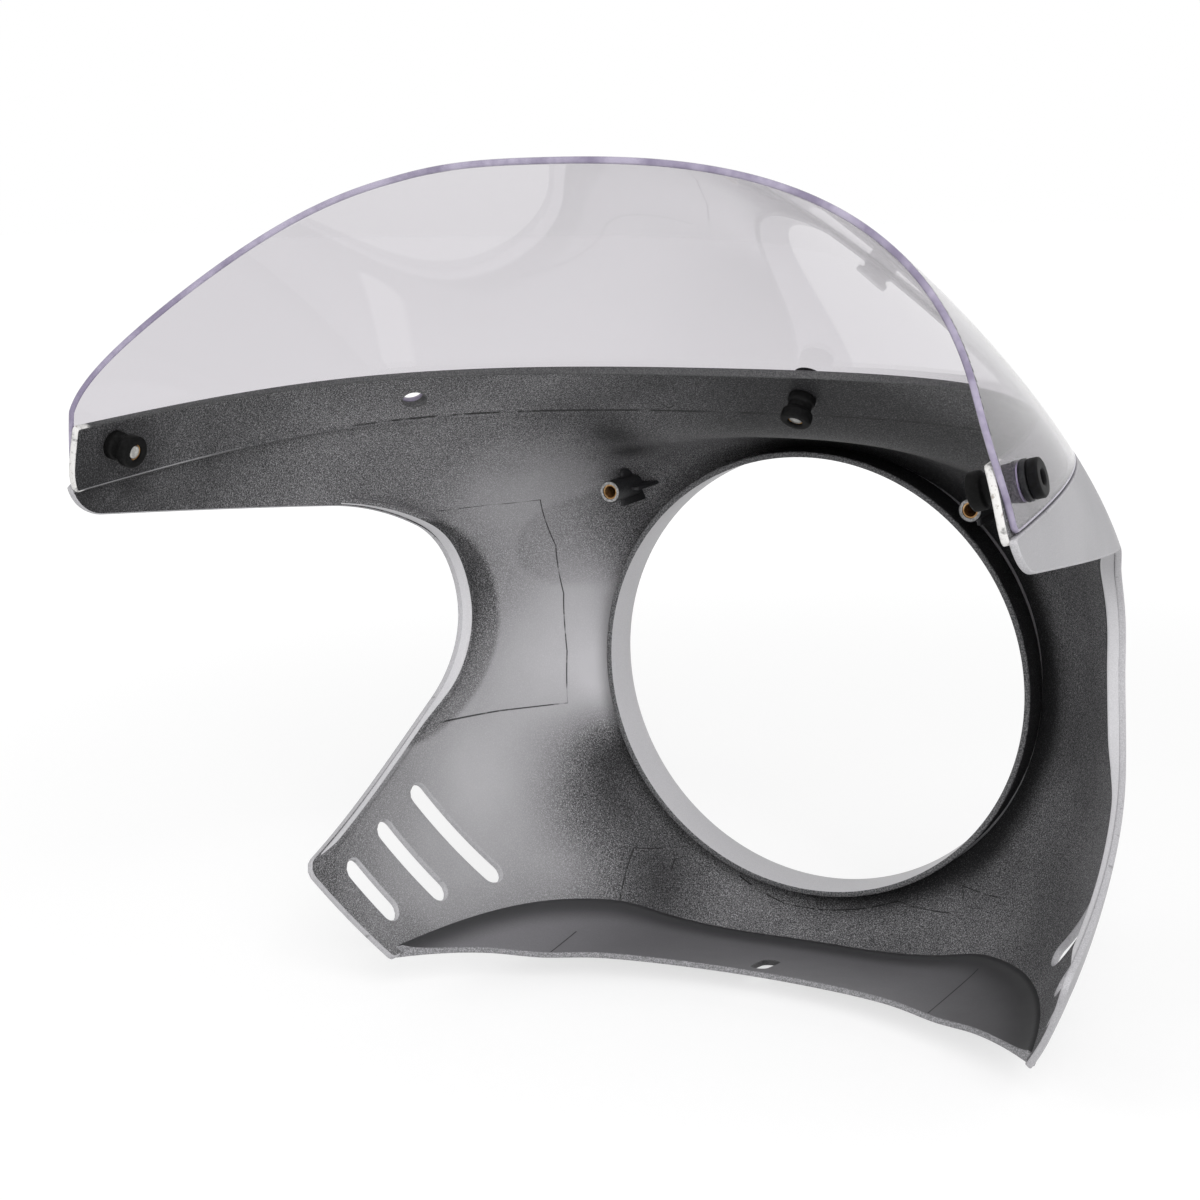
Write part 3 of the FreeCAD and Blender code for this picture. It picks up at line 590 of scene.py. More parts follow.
def scribeLineGroup():
    # thin line between two points: distance to the segment against half the width
    tree, start, end = newGroup(
        "scribeLine", {"Vector": "Vector", "First": "Vector", "Last": "Vector", "Width": "Float"}, ["Mask"])

    def vec(operation, a, b):
        node = addNode(tree, "ShaderNodeVectorMath", operation=operation)
        link(tree, a, node.inputs[0])
        link(tree, b, node.inputs[1])
        return node

    along = vec("SUBTRACT", start.outputs["Last"], start.outputs["First"]).outputs[0]
    away = vec("SUBTRACT", start.outputs["Vector"], start.outputs["First"]).outputs[0]
    share = mathNode(tree, "DIVIDE", vec("DOT_PRODUCT", away, along).outputs["Value"],
                     vec("DOT_PRODUCT", along, along).outputs["Value"], clamp=True)
    foot = addNode(tree, "ShaderNodeVectorMath", operation="SCALE")
    link(tree, along, foot.inputs[0])
    link(tree, share, foot.inputs["Scale"])
    gap = vec("DISTANCE", away, foot.outputs[0]).outputs["Value"]
    ratio = mathNode(tree, "DIVIDE", gap, start.outputs["Width"])
    link(tree, mapRange(tree, ratio, 0.4, 1.0, 1.0, 0.0), end.inputs["Mask"])
    return tree


def flakeGroup():
    # paint mist: fine dots over a coarser cloud
    tree, start, end = newGroup("paintFlake", {"Vector": "Vector", "Scale": "Float"}, ["Dots", "Cloud"])
    vector, scale = start.outputs["Vector"], start.outputs["Scale"]
    link(tree, mapRange(tree, noise(tree, vector, scale, 2.0, 0.7), 0.36, 0.7), end.inputs["Dots"])
    link(tree, noise(tree, vector, 18.0, 4.0), end.inputs["Cloud"])
    return tree


mistShadeZone, scribeLine, paintFlake = mistShadeZoneGroup(), scribeLineGroup(), flakeGroup()


def placeGroup(tree, group, vector, **values):
    node = addNode(tree, "ShaderNodeGroup")
    node.node_tree = group
    link(tree, vector, node.inputs["Vector"])
    for key, value in values.items():
        node.inputs[key].default_value = value
    return node


def newMaterial(name, roughness=0.5, metallic=0.0, specular=0.5):
    material = bpy.data.materials.new(name)
    material.use_nodes = True
    tree = material.node_tree
    shader = tree.nodes["Principled BSDF"]
    shader.inputs["Roughness"].default_value = roughness
    shader.inputs["Metallic"].default_value = metallic
    shader.inputs["Specular IOR Level"].default_value = specular
    return material, tree, shader, addNode(tree, "ShaderNodeTexCoord").outputs["Object"]


def addBump(tree, shader, height, strength, distance):
    bump = addNode(tree, "ShaderNodeBump")
    bump.inputs["Strength"].default_value = strength
    bump.inputs["Distance"].default_value = distance
    link(tree, height, bump.inputs["Height"])
    link(tree, bump.outputs["Normal"], shader.inputs["Normal"])


def flakedMaterial(name, scale, rough, specular, grain=None, metallic=0.0):
    # the flakes' cloud sets the roughness between two values, and their dots are the grain
    material, tree, shader, spot = newMaterial(name, sum(rough) / 2, metallic, specular)
    flake = placeGroup(tree, paintFlake, spot, Scale=scale)
    link(tree, mapRange(tree, flake.outputs["Cloud"], 0.3, 0.7, *rough), shader.inputs["Roughness"])
    if grain:
        addBump(tree, shader, flake.outputs["Dots"], *grain)
    return material, tree, shader, spot, flake.outputs["Dots"]


# inside finish: dark moulding with silver mist blown on from the openings, its levels also holding painted light
# and painted shade
insideFinish = {
    "dark": (0.014, 0.014, 0.015), "mist": (0.5, 0.495, 0.51), "base": 0.2, "flakeScale": 2100.0,
    "fleck": 0.5, "sparkle": 0.3, "cloud": 0.05, "line": (0.006, 0.006, 0.006),
    # middle of each zone, its reach, and what it adds to the mist level: real overspray together with painted light
    # where it adds and painted shade where it takes away
    "zones": {
        "wing": ((-0.137, -0.048, -0.041), 0.046, 0.52),
        "wingFoot": ((-0.140, -0.080, -0.078), 0.045, 0.30),
        "wingMiddle": ((-0.146, -0.074, -0.052), 0.025, -0.15),
        "besideLamp": ((-0.114, -0.005, 0.001), 0.036, 0.54),
        # painted light lifting the shaded groove left of the collar
        "grooveLeft": ((-0.096, 0.013, -0.010), 0.019, 0.52),
        "underLampLeft": ((-0.106, -0.034, -0.088), 0.024, 0.20),
        "underArm": ((-0.114, -0.030, 0.080), 0.036, 0.38),
        "besideTongue": ((-0.106, 0.002, 0.032), 0.024, 0.24),
        "armRoot": ((-0.142, -0.106, 0.107), 0.045, 0.10),
        "armEnd": ((-0.167, -0.225, 0.104), 0.075, -0.16),
        "aboveBoss": ((-0.063, -0.046, 0.106), 0.014, -0.18),
        "besideBoss": ((-0.070, -0.022, 0.096), 0.012, -0.20),
        "lampShadow": ((-0.101, -0.008, -0.062), 0.026, -0.20),
        "lampShadowTop": ((-0.097, 0.006, -0.040), 0.016, -0.20),
        "chinShadow": ((-0.070, -0.004, -0.094), 0.024, -0.12),
        "underLamp": ((-0.010, 0.000, -0.105), 0.060, 0.05),
        "overLamp": ((0.015, -0.045, 0.108), 0.050, -0.12),
        "rightSide": ((0.112, -0.015, 0.030), 0.080, -0.08),
        "bandRight": ((0.080, -0.072, 0.120), 0.055, -0.18),
        "bandMiddle": ((0.000, -0.071, 0.125), 0.060, -0.09),
    },
    "tongue": {"tip": ((-0.113, -0.010, 0.052), 0.016), "body": ((-0.096, 0.007, 0.057), 0.025),
               "from": 0.32, "to": 0.54, "weight": 0.085},
    "crescent": {"back": -0.0737, "height": 0.0237, "radius": 0.0479, "soft": 0.0016, "weight": 0.25},
    # painted shade in the groove round the collar, on its right side
    "collarGrooveShade": {"near": 0.095, "far": 0.112, "left": -0.050, "right": 0.020, "weight": 0.24},
    # marks of the mould's sliders: run from the nose in mm, and turn round the section in degrees
    "marks": [[(78, 158), (60, 150.5), (42, 145), (27, 159), (21, 171.5), (20, 183), (22, 192.5),
               (48, 192.5), (76, 193)],
              [(40, 235), (22, 227), (10, 234.5)], [(13, 236), (15.5, 235), (18.5, 236.5)],
              [(8.6, 249.5), (11.6, 263), (11.4, 270)], [(11.4, -90), (8.8, -71.5), (17.5, -59.5)],
              [(15.5, -55), (11.5, -54), (23.5, -46)], [(45, -56), (38, -53.5)],
              [(88, 97.5), (85.6, 97), (87.3, 96)]],
    "markWidth": 0.0003, "turnReach": 0.11,
    # line under the joggle's step: its dark part is a painted shadow of the step
    "stepLine": {"width": 0.0006, "under": 0.3, "dark": (-0.140, -0.100), "pale": (-0.200, -0.160), "paleMost": 0.45},
}


def distanceFrom(tree, first, firstAt, second, secondAt):
    # length of the offset from a point in the plane of two coordinates
    a, b = mathNode(tree, "SUBTRACT", first, firstAt), mathNode(tree, "SUBTRACT", second, secondAt)
    squares = [mathNode(tree, "MULTIPLY", side, side) for side in (a, b)]
    return mathNode(tree, "SQRT", mathNode(tree, "ADD", *squares))


def insideMaterial():
    # mist level = base + zones - tongue - crescent - groove + cloud, where the zones and the groove carry painted
    # light and painted shade, with light flecks where the mist is thin
    k = insideFinish
    material, tree, shader, spot = newMaterial("overspray_and_painted_shading_inside", 0.62, 0.0, 0.3)
    flake = placeGroup(tree, paintFlake, spot, Scale=k["flakeScale"])
    dots = flake.outputs["Dots"]
    cloud = mapRange(tree, flake.outputs["Cloud"], 0.3, 0.7, -k["cloud"], k["cloud"])
    level = mathNode(tree, "ADD", cloud, k["base"])
    for centre, reach, weight in k["zones"].values():
        zone = placeGroup(tree, mistShadeZone, spot, Centre=centre, Reach=reach)
        level = mathNode(tree, "ADD", level, mathNode(tree, "MULTIPLY", zone.outputs["Mask"], weight))
    t = k["tongue"]
    tongue = cloud
    for centre, reach in (t["tip"], t["body"]):
        zone = placeGroup(tree, mistShadeZone, spot, Centre=centre, Reach=reach)
        tongue = mathNode(tree, "ADD", tongue, zone.outputs["Mask"])
    level = mathNode(tree, "SUBTRACT", level, mapRange(tree, tongue, t["from"], t["to"], 0.0, t["weight"]))
    x, y, z = splitAxes(tree, spot)
    c = k["crescent"]
    away = distanceFrom(tree, y, c["back"], z, c["height"])
    dim = mapRange(tree, away, c["radius"] - c["soft"], c["radius"] + c["soft"], c["weight"], 0.0)
    level = mathNode(tree, "SUBTRACT", level, dim)
    # painted shade in the groove round the collar, fading out to the left
    g = k["collarGrooveShade"]
    ring = mapRange(tree, distanceFrom(tree, x, 0.0, z, 0.0), g["near"], g["far"], g["weight"], 0.0)
    ring = mathNode(tree, "MULTIPLY", ring, mapRange(tree, x, g["left"], g["right"]))
    level = mathNode(tree, "MAXIMUM", mathNode(tree, "SUBTRACT", level, ring), 0.0)
    # flecks fade where the mist covers and where it hardly reaches
    covered = mapRange(tree, level, 0.15, 0.8, 1.0, 0.12)
    thin = mathNode(tree, "MULTIPLY", covered, mapRange(tree, level, 0.0, 0.3, 0.25, 1.0))
    fleck = mathNode(tree, "MULTIPLY", mathNode(tree, "SUBTRACT", dots, 0.45), k["fleck"])
    fleck = mathNode(tree, "ADD", fleck, mapRange(tree, dots, 0.78, 1.0, 0.0, k["sparkle"]))
    amount = mathNode(tree, "ADD", level, mathNode(tree, "MULTIPLY", fleck, thin), clamp=True)
    colour = mixColour(tree, amount, k["dark"], k["mist"])
    onSkin = addNode(tree, "ShaderNodeCombineXYZ")
    for axis, key in (("X", "skinRun"), ("Y", "skinTurn")):
        link(tree, addNode(tree, "ShaderNodeAttribute", attribute_name=key).outputs["Fac"], onSkin.inputs[axis])
    lines = 0.0
    for mark in k["marks"]:
        ends = [(run * mm, math.radians(turn) * k["turnReach"], 0) for run, turn in mark]
        for first, last in zip(ends[:-1], ends[1:]):
            line = placeGroup(tree, scribeLine, onSkin.outputs[0],
                              First=first, Last=last, Width=k["markWidth"])
            lines = mathNode(tree, "MAXIMUM", lines, line.outputs["Mask"])
    # line under the joggle's step: height above its sloping line, dark in the middle as a painted shadow of the
    # step, and pale on the arms
    s = k["stepLine"]
    above = mathNode(tree, "SUBTRACT", z, mathNode(tree, "MULTIPLY", y, seatLine["fall"]))
    stepLineHeight = (seatLine["height"] - wallMm - s["under"]) * mm
    above = mathNode(tree, "ABSOLUTE", mathNode(tree, "SUBTRACT", above, stepLineHeight))
    stepLine = mapRange(tree, above, s["width"] / 2, s["width"], 1.0, 0.0)
    stepShadow = mathNode(tree, "MULTIPLY", stepLine, mapRange(tree, y, *s["dark"]))
    stepPale = mathNode(tree, "MULTIPLY", stepLine, mapRange(tree, y, *s["pale"], s["paleMost"], 0.0))
    broken = mapRange(tree, noise(tree, spot, 160.0, 2.0), 0.36, 0.5, 0.2, 0.9)
    lines = mathNode(tree, "MULTIPLY", mathNode(tree, "MAXIMUM", lines, stepShadow), broken)
    colour = mixColour(tree, stepPale, colour, k["mist"])
    link(tree, mixColour(tree, lines, colour, k["line"]), shader.inputs["Base Color"])
    link(tree, mapRange(tree, dots, 0, 1, 0.7, 0.5), shader.inputs["Roughness"])
    addBump(tree, shader, dots, 0.2, 0.00012)
    return material


# chin flange: plain satin grey, with painted shade in the corner against the wall and towards the right end, and
# painted light at the left end
flangeFinish = {
    # deep is the painted shade in the corner against the wall and at the right end
    "grey": (0.20, 0.196, 0.208), "deep": (0.02, 0.02, 0.021), "line": (0.006, 0.006, 0.006),
    "corner": (0.0, 0.011, 0.12, 1.0), "right": (0.050, 0.110, 1.0, 0.45), "left": (-0.115, -0.050, 1.0, 0.7),
    "speckle": (0.0, 1.0, 0.92, 1.06), "markWidth": 0.0004,
    "marks": [((0.0815, -0.0805, 0), (0.0843, -0.0312, 0)), ((-0.0816, -0.082, 0), (-0.0837, -0.056, 0))],
    "flake": 1500.0, "rough": (0.42, 0.56), "specular": 0.3, "grain": (0.05, 0.0001),
}


def flangeMaterial():
    # grey = painted corner shade by the gap to the wall, times the painted light and shade of both ends, times
    # speckle, with two parting marks
    k = flangeFinish
    material, tree, shader, spot, dots = flakedMaterial(
        "chin_flange_top", k["flake"], k["rough"], k["specular"], k["grain"])
    x, y, _ = splitAxes(tree, spot)
    gap = addNode(tree, "ShaderNodeAttribute", attribute_name="wallGap").outputs["Fac"]
    amount = mapRange(tree, gap, *k["corner"])
    for value, reach in ((x, "right"), (x, "left"), (dots, "speckle")):
        amount = mathNode(tree, "MULTIPLY", amount, mapRange(tree, value, *k[reach]))
    colour = mixColour(tree, amount, k["deep"], k["grey"])
    flat = addNode(tree, "ShaderNodeCombineXYZ")
    link(tree, x, flat.inputs["X"])
    link(tree, y, flat.inputs["Y"])
    for first, last in k["marks"]:
        mark = placeGroup(tree, scribeLine, flat.outputs[0], First=first, Last=last, Width=k["markWidth"])
        colour = mixColour(tree, mark.outputs["Mask"], colour, k["line"])
    link(tree, colour, shader.inputs["Base Color"])
    return material


# painted edges, worn through in patches
wornFinishes = {
    "silver_edge": {
        "dark": (0.34, 0.335, 0.35), "pale": (0.46, 0.455, 0.47), "worn": (0.1, 0.1, 0.1),
        "patches": (240.0, 4.0, 0.65), "wear": (0.6, 0.7, 0.0, 0.5),
        "flake": 2200.0, "rough": (0.45, 0.6), "specular": 0.4, "grain": (0.15, 0.0002)},
    "collar_rim": {
        "dark": (0.03, 0.03, 0.032), "pale": (0.2, 0.2, 0.205), "worn": (0.62, 0.61, 0.62),
        "patches": (120.0, 6.0, 0.75), "wear": (0.66, 0.7, 0.0, 0.8),
        "flake": 1500.0, "rough": (0.45, 0.65), "specular": 0.35, "grain": (0.3, 0.0002)},
}


def wornMaterial(name):
    # flakes mix two shades, and a broken noise shows the worn one
    k = wornFinishes[name]
    material, tree, shader, spot, dots = flakedMaterial(name, k["flake"], k["rough"], k["specular"], k["grain"])
    wear = mapRange(tree, noise(tree, spot, *k["patches"]), *k["wear"])
    colour = mixColour(tree, dots, k["dark"], k["pale"])
    link(tree, mixColour(tree, wear, colour, k["worn"]), shader.inputs["Base Color"])
    return material


# edge of the joggled band: dark, chipped to white and brown at the arm ends
bandEdgeFinish = {
    "dark": (0.035, 0.035, 0.037), "pale": (0.1, 0.1, 0.1), "ends": (-0.2455, -0.2435, 1.0, 0.0),
    "patches": (330.0, 4.0, 0.7),
    "chips": [((0.6, 0.59, 0.58), (0.34, 0.5, 0.35, 1.0)), ((0.16, 0.12, 0.09), (0.58, 0.66, 0.0, 0.7))],
    "flake": 2200.0, "rough": (0.45, 0.65), "specular": 0.3, "grain": (0.4, 0.0003),
}


def bandEdgeMaterial():
    # behind a line near the arm ends, noise picks white and brown chips
    k = bandEdgeFinish
    material, tree, shader, spot, dots = flakedMaterial("band_edge", k["flake"], k["rough"], k["specular"])
    ends = mapRange(tree, splitAxes(tree, spot)[1], *k["ends"])
    patches = noise(tree, spot, *k["patches"])
    colour = mixColour(tree, dots, k["dark"], k["pale"])
    for chip, reach in k["chips"]:
        amount = mathNode(tree, "MULTIPLY", ends, mapRange(tree, patches, *reach))
        colour = mixColour(tree, amount, colour, chip)
    link(tree, colour, shader.inputs["Base Color"])
    addBump(tree, shader, patches, *k["grain"])
    return material


# chin flange edge: silver, with a dark wall inside the slotted hole
chinEdgeFinish = {
    "paint": (0.36, 0.355, 0.37), "thin": (0.13, 0.13, 0.135), "dark": (0.015, 0.015, 0.015),
    "slotReach": 0.0065, "flake": 1800.0, "rough": (0.45, 0.65), "specular": 0.35, "grain": (0.15, 0.0002),
}


def chinEdgeMaterial():
    # the slot's own segment, swollen to its walls, marks them dark
    k = chinEdgeFinish
    material, tree, shader, spot, dots = flakedMaterial(
        "chin_edge", k["flake"], k["rough"], k["specular"], k["grain"])
    height = float(shelfHeight(np.array(0.0), np.array(-chinShelf["slotBack"]))) - wallMm
    ends = [(0.0, (-chinShelf["slotBack"] + side * slotHalf) * mm, height * mm) for side in (-1, 1)]
    slot = placeGroup(tree, scribeLine, spot, First=ends[0], Last=ends[1], Width=k["slotReach"])
    colour = mixColour(tree, dots, k["thin"], k["paint"])
    link(tree, mixColour(tree, slot.outputs["Mask"], colour, k["dark"]), shader.inputs["Base Color"])
    return material


# windscreen: clear plastic, its lilac tint partly the plastic's own and partly painted shade for the darker
# surroundings it reflects, with a dark lilac cut edge painted for the darkening its refraction and inner
# reflections give
screenFinish = {"face": (0.70, 0.68, 0.71), "faceDeep": (0.679, 0.6596, 0.6887), "light": (0.93, 0.92, 0.94),
                "bend": 1.3, "edge": (0.17, 0.145, 0.22), "edgePale": (0.33, 0.30, 0.39), "edgeCoat": 0.3}


def screenMaterial():
    # soft cloud between two tints, clear to shadow rays so that light passes
    k = screenFinish
    material, tree, shader, spot = newMaterial("screen_clear", 0.02, 0.0, 0.5)
    cloud = noise(tree, spot, 9.0, 2.0)
    # the face tints are partly painted shade standing for the darker surroundings that the screen reflects
    link(tree, mixColour(tree, cloud, k["face"], k["faceDeep"]), shader.inputs["Base Color"])
    shader.inputs["Transmission Weight"].default_value = 1.0
    shader.inputs["IOR"].default_value = k["bend"]
    clear = addNode(tree, "ShaderNodeBsdfTransparent")
    clear.inputs["Color"].default_value = (*k["light"], 1)
    path = addNode(tree, "ShaderNodeLightPath")
    choose = addNode(tree, "ShaderNodeMixShader")
    link(tree, path.outputs["Is Shadow Ray"], choose.inputs[0])
    link(tree, shader.outputs[0], choose.inputs[1])
    link(tree, clear.outputs[0], choose.inputs[2])
    link(tree, choose.outputs[0], tree.nodes["Material Output"].inputs["Surface"])
    return material


def screenEdgeMaterial():
    # streaks of noise between two dark lilacs, painted shade standing for the clear edge's refraction and inner
    # reflections
    k = screenFinish
    material, tree, shader, spot = newMaterial("screen_edge", 0.25, 0.0, 0.5)
    streak = mapRange(tree, noise(tree, spot, 60.0, 4.0, 0.6), 0.35, 0.65)
    link(tree, mixColour(tree, streak, k["edge"], k["edgePale"]), shader.inputs["Base Color"])
    shader.inputs["Coat Weight"].default_value = k["edgeCoat"]
    return material


# plain finishes: dark shade, pale shade, flake scale, roughness, metal, specular level and grain
plainFinishes = {
    "silver_shell": ((0.29, 0.285, 0.30), (0.345, 0.34, 0.355), 2600.0, 0.43, 0.0, 0.4, 0.05),
    "silver_lip": ((0.46, 0.455, 0.47), (0.54, 0.535, 0.55), 2600.0, 0.43, 0.0, 0.4, 0.05),
    "well_nut_rubber": ((0.003, 0.003, 0.003), (0.006, 0.006, 0.006), 900.0, 0.6, 0.0, 0.1, 0.1),
    "insert_brass": ((0.30, 0.16, 0.06), (0.50, 0.32, 0.15), 700.0, 0.38, 0.9, 0.5, 0.1),
    "screw_black": ((0.003, 0.003, 0.003), (0.005, 0.005, 0.006), 800.0, 0.45, 0.0, 0.1, 0.1),
    "screw_tip": ((0.5, 0.5, 0.48), (0.75, 0.74, 0.7), 700.0, 0.35, 0.8, 0.5, 0.1),
    "washer_nylon": ((0.01, 0.01, 0.011), (0.02, 0.02, 0.022), 800.0, 0.4, 0.0, 0.2, 0.1),
    "boss_plastic": ((0.008, 0.008, 0.009), (0.03, 0.03, 0.032), 1500.0, 0.5, 0.0, 0.3, 0.1),
    "boss_ring": ((0.16, 0.16, 0.16), (0.42, 0.42, 0.42), 1100.0, 0.6, 0.0, 0.5, 0.1),
}
plainSpan, plainDepth = 0.07, 0.0001


def plainMaterial(name):
    # two close shades mixed by the flakes, with a fine grain
    dark, pale, scale, rough, metallic, specular, grain = plainFinishes[name]
    material, tree, shader, _, dots = flakedMaterial(
        name, scale, (rough - plainSpan, rough + plainSpan), specular, (grain, plainDepth), metallic)
    link(tree, mixColour(tree, dots, dark, pale), shader.inputs["Base Color"])
    return material


inside, chinTop = insideMaterial(), flangeMaterial()
edge, rimSpeckle = (wornMaterial(name) for name in wornFinishes)
bandEdge, chinEdge = bandEdgeMaterial(), chinEdgeMaterial()
screenFace, screenEdge = screenMaterial(), screenEdgeMaterial()
outside, lipSilver, rubber, brass, blackScrew, screwTip, nylon, bossPlastic, bossRing = (
    plainMaterial(name) for name in plainFinishes)
print("materials made")


def skinSheets(turns, runs, outerInset, innerInset):
    # two sheets of the skin over one grid, with the grid's own values for the marks
    turnGrid, runGrid = np.meshgrid(turns, runs, indexing="ij")
    values = {"skinRun": runGrid * mm, "skinTurn": turnGrid * insideFinish["turnReach"]}
    return skinPoints(runGrid, turnGrid, outerInset), skinPoints(runGrid, turnGrid, innerInset), values


def archTurns(count):
    # over the top from side to side, short of the corners of the section
    short = 0.02
    return np.linspace(short, math.pi - short, count)


# fairing shell below the joggle
shellGrid = {"turns": 468, "runs": 182, "start": 3.4, "growth": 1.25}
k = shellGrid
turns = np.linspace(0, 2 * math.pi, k["turns"], endpoint=False) - math.pi / 2
runs = k["start"] + (skinShape["length"] - k["start"]) * np.linspace(0, 1, k["runs"]) ** k["growth"]
skinOuter, skinInner, onSkin = skinSheets(turns, runs, 0.0, wallMm)
gy, gz = skinOuter[..., 1], skinOuter[..., 2]
cutField = outlineField(gy, gz, cutoutOutline())
shellField = np.minimum(cutField, joggleAt(gy) - gz)
shellField = np.minimum(shellField, gz - shelfHeight(skinOuter[..., 0], gy) + wallMm)
k = wingSlots
lean = np.array([-math.cos(math.radians(k["angle"])), math.sin(math.radians(k["angle"]))])
for i in range(3):
    low = np.array([-k["back"] - i * k["pitch"], k["low"]])
    high = low + lean * (k["length"] - i * k["step"])
    shellField = np.minimum(shellField, slotField(gy, gz, low, high, k["width"]))


def hiddenRim(points):
    # rim against the collar and along the chin flange
    x, y, z = points.T
    onShelf = np.hypot(x, y + chinShelf["back"] + chinShelf["radius"]) > chinShelf["radius"]
    return (y > skinShape["noseY"] - 2 * shellGrid["start"]) | (onShelf & (z < shelfHeight(x, y) + wallMm))


fairing = trimmedShell("fairing_moulding", skinOuter, skinInner, shellField, True, [outside, inside, edge],
                       plainRim=hiddenRim, extra=onSkin)

# joggled band that the windscreen seats on
bandGrid = {"turns": 560, "runs": 170, "first": 72.0, "last": 276.0}
k = bandGrid
runs = np.linspace(k["first"], k["last"], k["runs"])
bandOuter, bandInner, onSkin = skinSheets(archTurns(k["turns"]), runs, seatMm, seatMm + wallMm)
by, bz = bandOuter[..., 1], bandOuter[..., 2]
bandField = np.minimum(bandTopAt(by) - bz, bz - joggleAt(by) + wallMm)
bandField = np.minimum(bandField, np.minimum(outlineField(by, bz, cutoutOutline()), holeField(bandOuter)))
band = trimmedShell("joggle_band", bandOuter, bandInner, bandField, False, [inside, inside, bandEdge], extra=onSkin)

# ring of the nose with the headlamp collar behind it
collarRing = {"radius": 92.6, "rear": 0.0, "root": 16.0, "round": 0.6, "turns": 360, "rows": 9,
              "overlap": 1.4, "proud": 0.03}
k = collarRing
ringTurns = np.linspace(0, 2 * math.pi, k["turns"], endpoint=False)
noseRuns = np.linspace(shellGrid["start"] + k["overlap"], k["round"], k["rows"])
noseRows = [skinPoints(np.full(k["turns"], r), ringTurns, -k["proud"]) for r in noseRuns]
ring, noseY = skinShape["ring"], skinShape["noseY"]
lip = roundedProfile([(ring, noseY), (k["radius"], noseY), (k["radius"], k["rear"]), (ring, k["rear"]),
                      (ring, k["root"])], k["round"])
ringDir = np.stack([np.cos(ringTurns), 0 * ringTurns, np.sin(ringTurns)], -1)
lipRows = [r * ringDir + np.array([0, y, 0]) for r, y in lip]
nosePoints = np.stack(noseRows + lipRows, 1)
# finishes by row: outside of the nose, bore, rear rim with its two round corners, outer wall
rowSlots = np.zeros(nosePoints.shape[1] - 1)
rowSlots[:k["rows"]] = 3
rowSlots[-7:-1] = 1
rowSlots[-1] = 2
nose = closedGrid("headlamp_collar", nosePoints[:, ::-1], [lipSilver, rimSpeckle, inside, outside], rowSlots[::-1],
                  wrapU=True, wrapV=False)

# return flange round each handlebar cut-out, running out as a low lip along the wing and the arm
returnGrid = {"wing": 70, "cut": 120, "arm": 40, "tipTurn": 1.5, "start": 1.2, "setback": 0.1, "lip": 4.2,
              "buried": 2.0, "tipFade": 15.0, "wingFade": 30.0, "armFade": 45.0}
k = returnGrid
up, down = cutout["up"], cutout["down"]
arcs = [(wingCentre, cutout["wingRadius"], np.linspace(wingTurn + k["tipTurn"], down, k["wing"], endpoint=False)),
        (cutCentre, cutout["radius"], np.linspace(down, up, k["cut"], endpoint=False)),
        (armCentre, cutout["armRadius"], np.linspace(up, armTurn, k["arm"]))]
lipTurn = np.radians(np.concatenate([turn for _, _, turn in arcs]))
lipRadius = np.concatenate([np.full(len(turn), radius) for _, radius, turn in arcs])
lipCentre = np.concatenate([np.broadcast_to(centre, (len(turn), 2)) for centre, _, turn in arcs])
along = np.concatenate([[0], np.cumsum(lipRadius[1:] * np.diff(lipTurn))])
wingEnd, armStart = along[k["wing"]], along[k["wing"] + k["cut"]]
# full depth round the cut-out, a low lip beyond it, and nothing at either end
deep = easeIn((along - wingEnd + k["wingFade"] / 2) / k["wingFade"])
deep = deep * easeIn((armStart + k["armFade"] - along) / k["armFade"])
shown = np.minimum(easeIn(along / k["tipFade"]), easeIn((along[-1] - along) / k["tipFade"]))
lipDepth = k["buried"] + shown * (k["lip"] - k["buried"] + deep * (cutout["returnDepth"] - k["lip"]))
# section of the flange: distance out from the cut, share of the depth, and its finish
section = [(0.0, 0.0, 0), (0.0, 0.88, 0), (0.12, 0.96, 0), (0.45, 1.0, 1), (wallMm - 0.45, 1.0, 1),
           (wallMm - 0.1, 0.95, 1), (wallMm, 0.88, 1), (wallMm + 0.6, 0.5, 1), (wallMm + 2.0, 0.2, 1),
           (wallMm + 2.0, 0.0, 1)]
flanges = []
for sign in (1, -1):
    rows = []
    for out, share, _ in section:
        reach = lipRadius + k["setback"] + out
        ly = lipCentre[:, 0] + reach * np.cos(lipTurn)
        lz = lipCentre[:, 1] + reach * np.sin(lipTurn)
        lx = sign * skinSide(ly, lz, k["start"] + share * (lipDepth - k["start"]))
        rows.append(np.stack([lx, ly, lz], -1))
    grid = np.stack(rows, 1)
    facing = np.array([finish for _, _, finish in section])
    if sign < 0:
        grid, facing = grid[:, ::-1], np.roll(facing[::-1], -1)
    flanges.append(closedGrid("return_flange", grid, [lipSilver, inside], facing, caps=True))
returnPiece = joined("return_flanges", flanges)

# chin flange
flangeGrid = {"across": 420, "deep": 180, "half": 150.0, "front": 8.0, "rear": -140.0, "fillet": 2.6, "root": 1.2}
k = flangeGrid
fx, fy = np.meshgrid(np.linspace(-k["half"], k["half"], k["across"]),
                     np.linspace(k["rear"], k["front"], k["deep"]), indexing="ij")
fz = shelfHeight(fx, fy)
nearWall = np.maximum(insideSkin(np.stack([fx, fy, fz], -1), wallMm), 0)
fz = fz + k["fillet"] * np.exp(-nearWall / k["fillet"])
shelfTop = np.stack([fx, fy, fz], -1)
shelfLow = np.stack([fx, fy, shelfHeight(fx, fy) - wallMm], -1)
freeEdge = np.hypot(fx, fy + chinShelf["back"] + chinShelf["radius"]) - chinShelf["radius"]
slotEnds = [(0, -chinShelf["slotBack"] + side * slotHalf) for side in (-1, 1)]
shelfField = np.minimum(insideSkin(shelfTop, k["root"]), freeEdge)
shelfField = np.minimum(shelfField, slotField(fx, fy, *slotEnds, chinShelf["slotWidth"]))
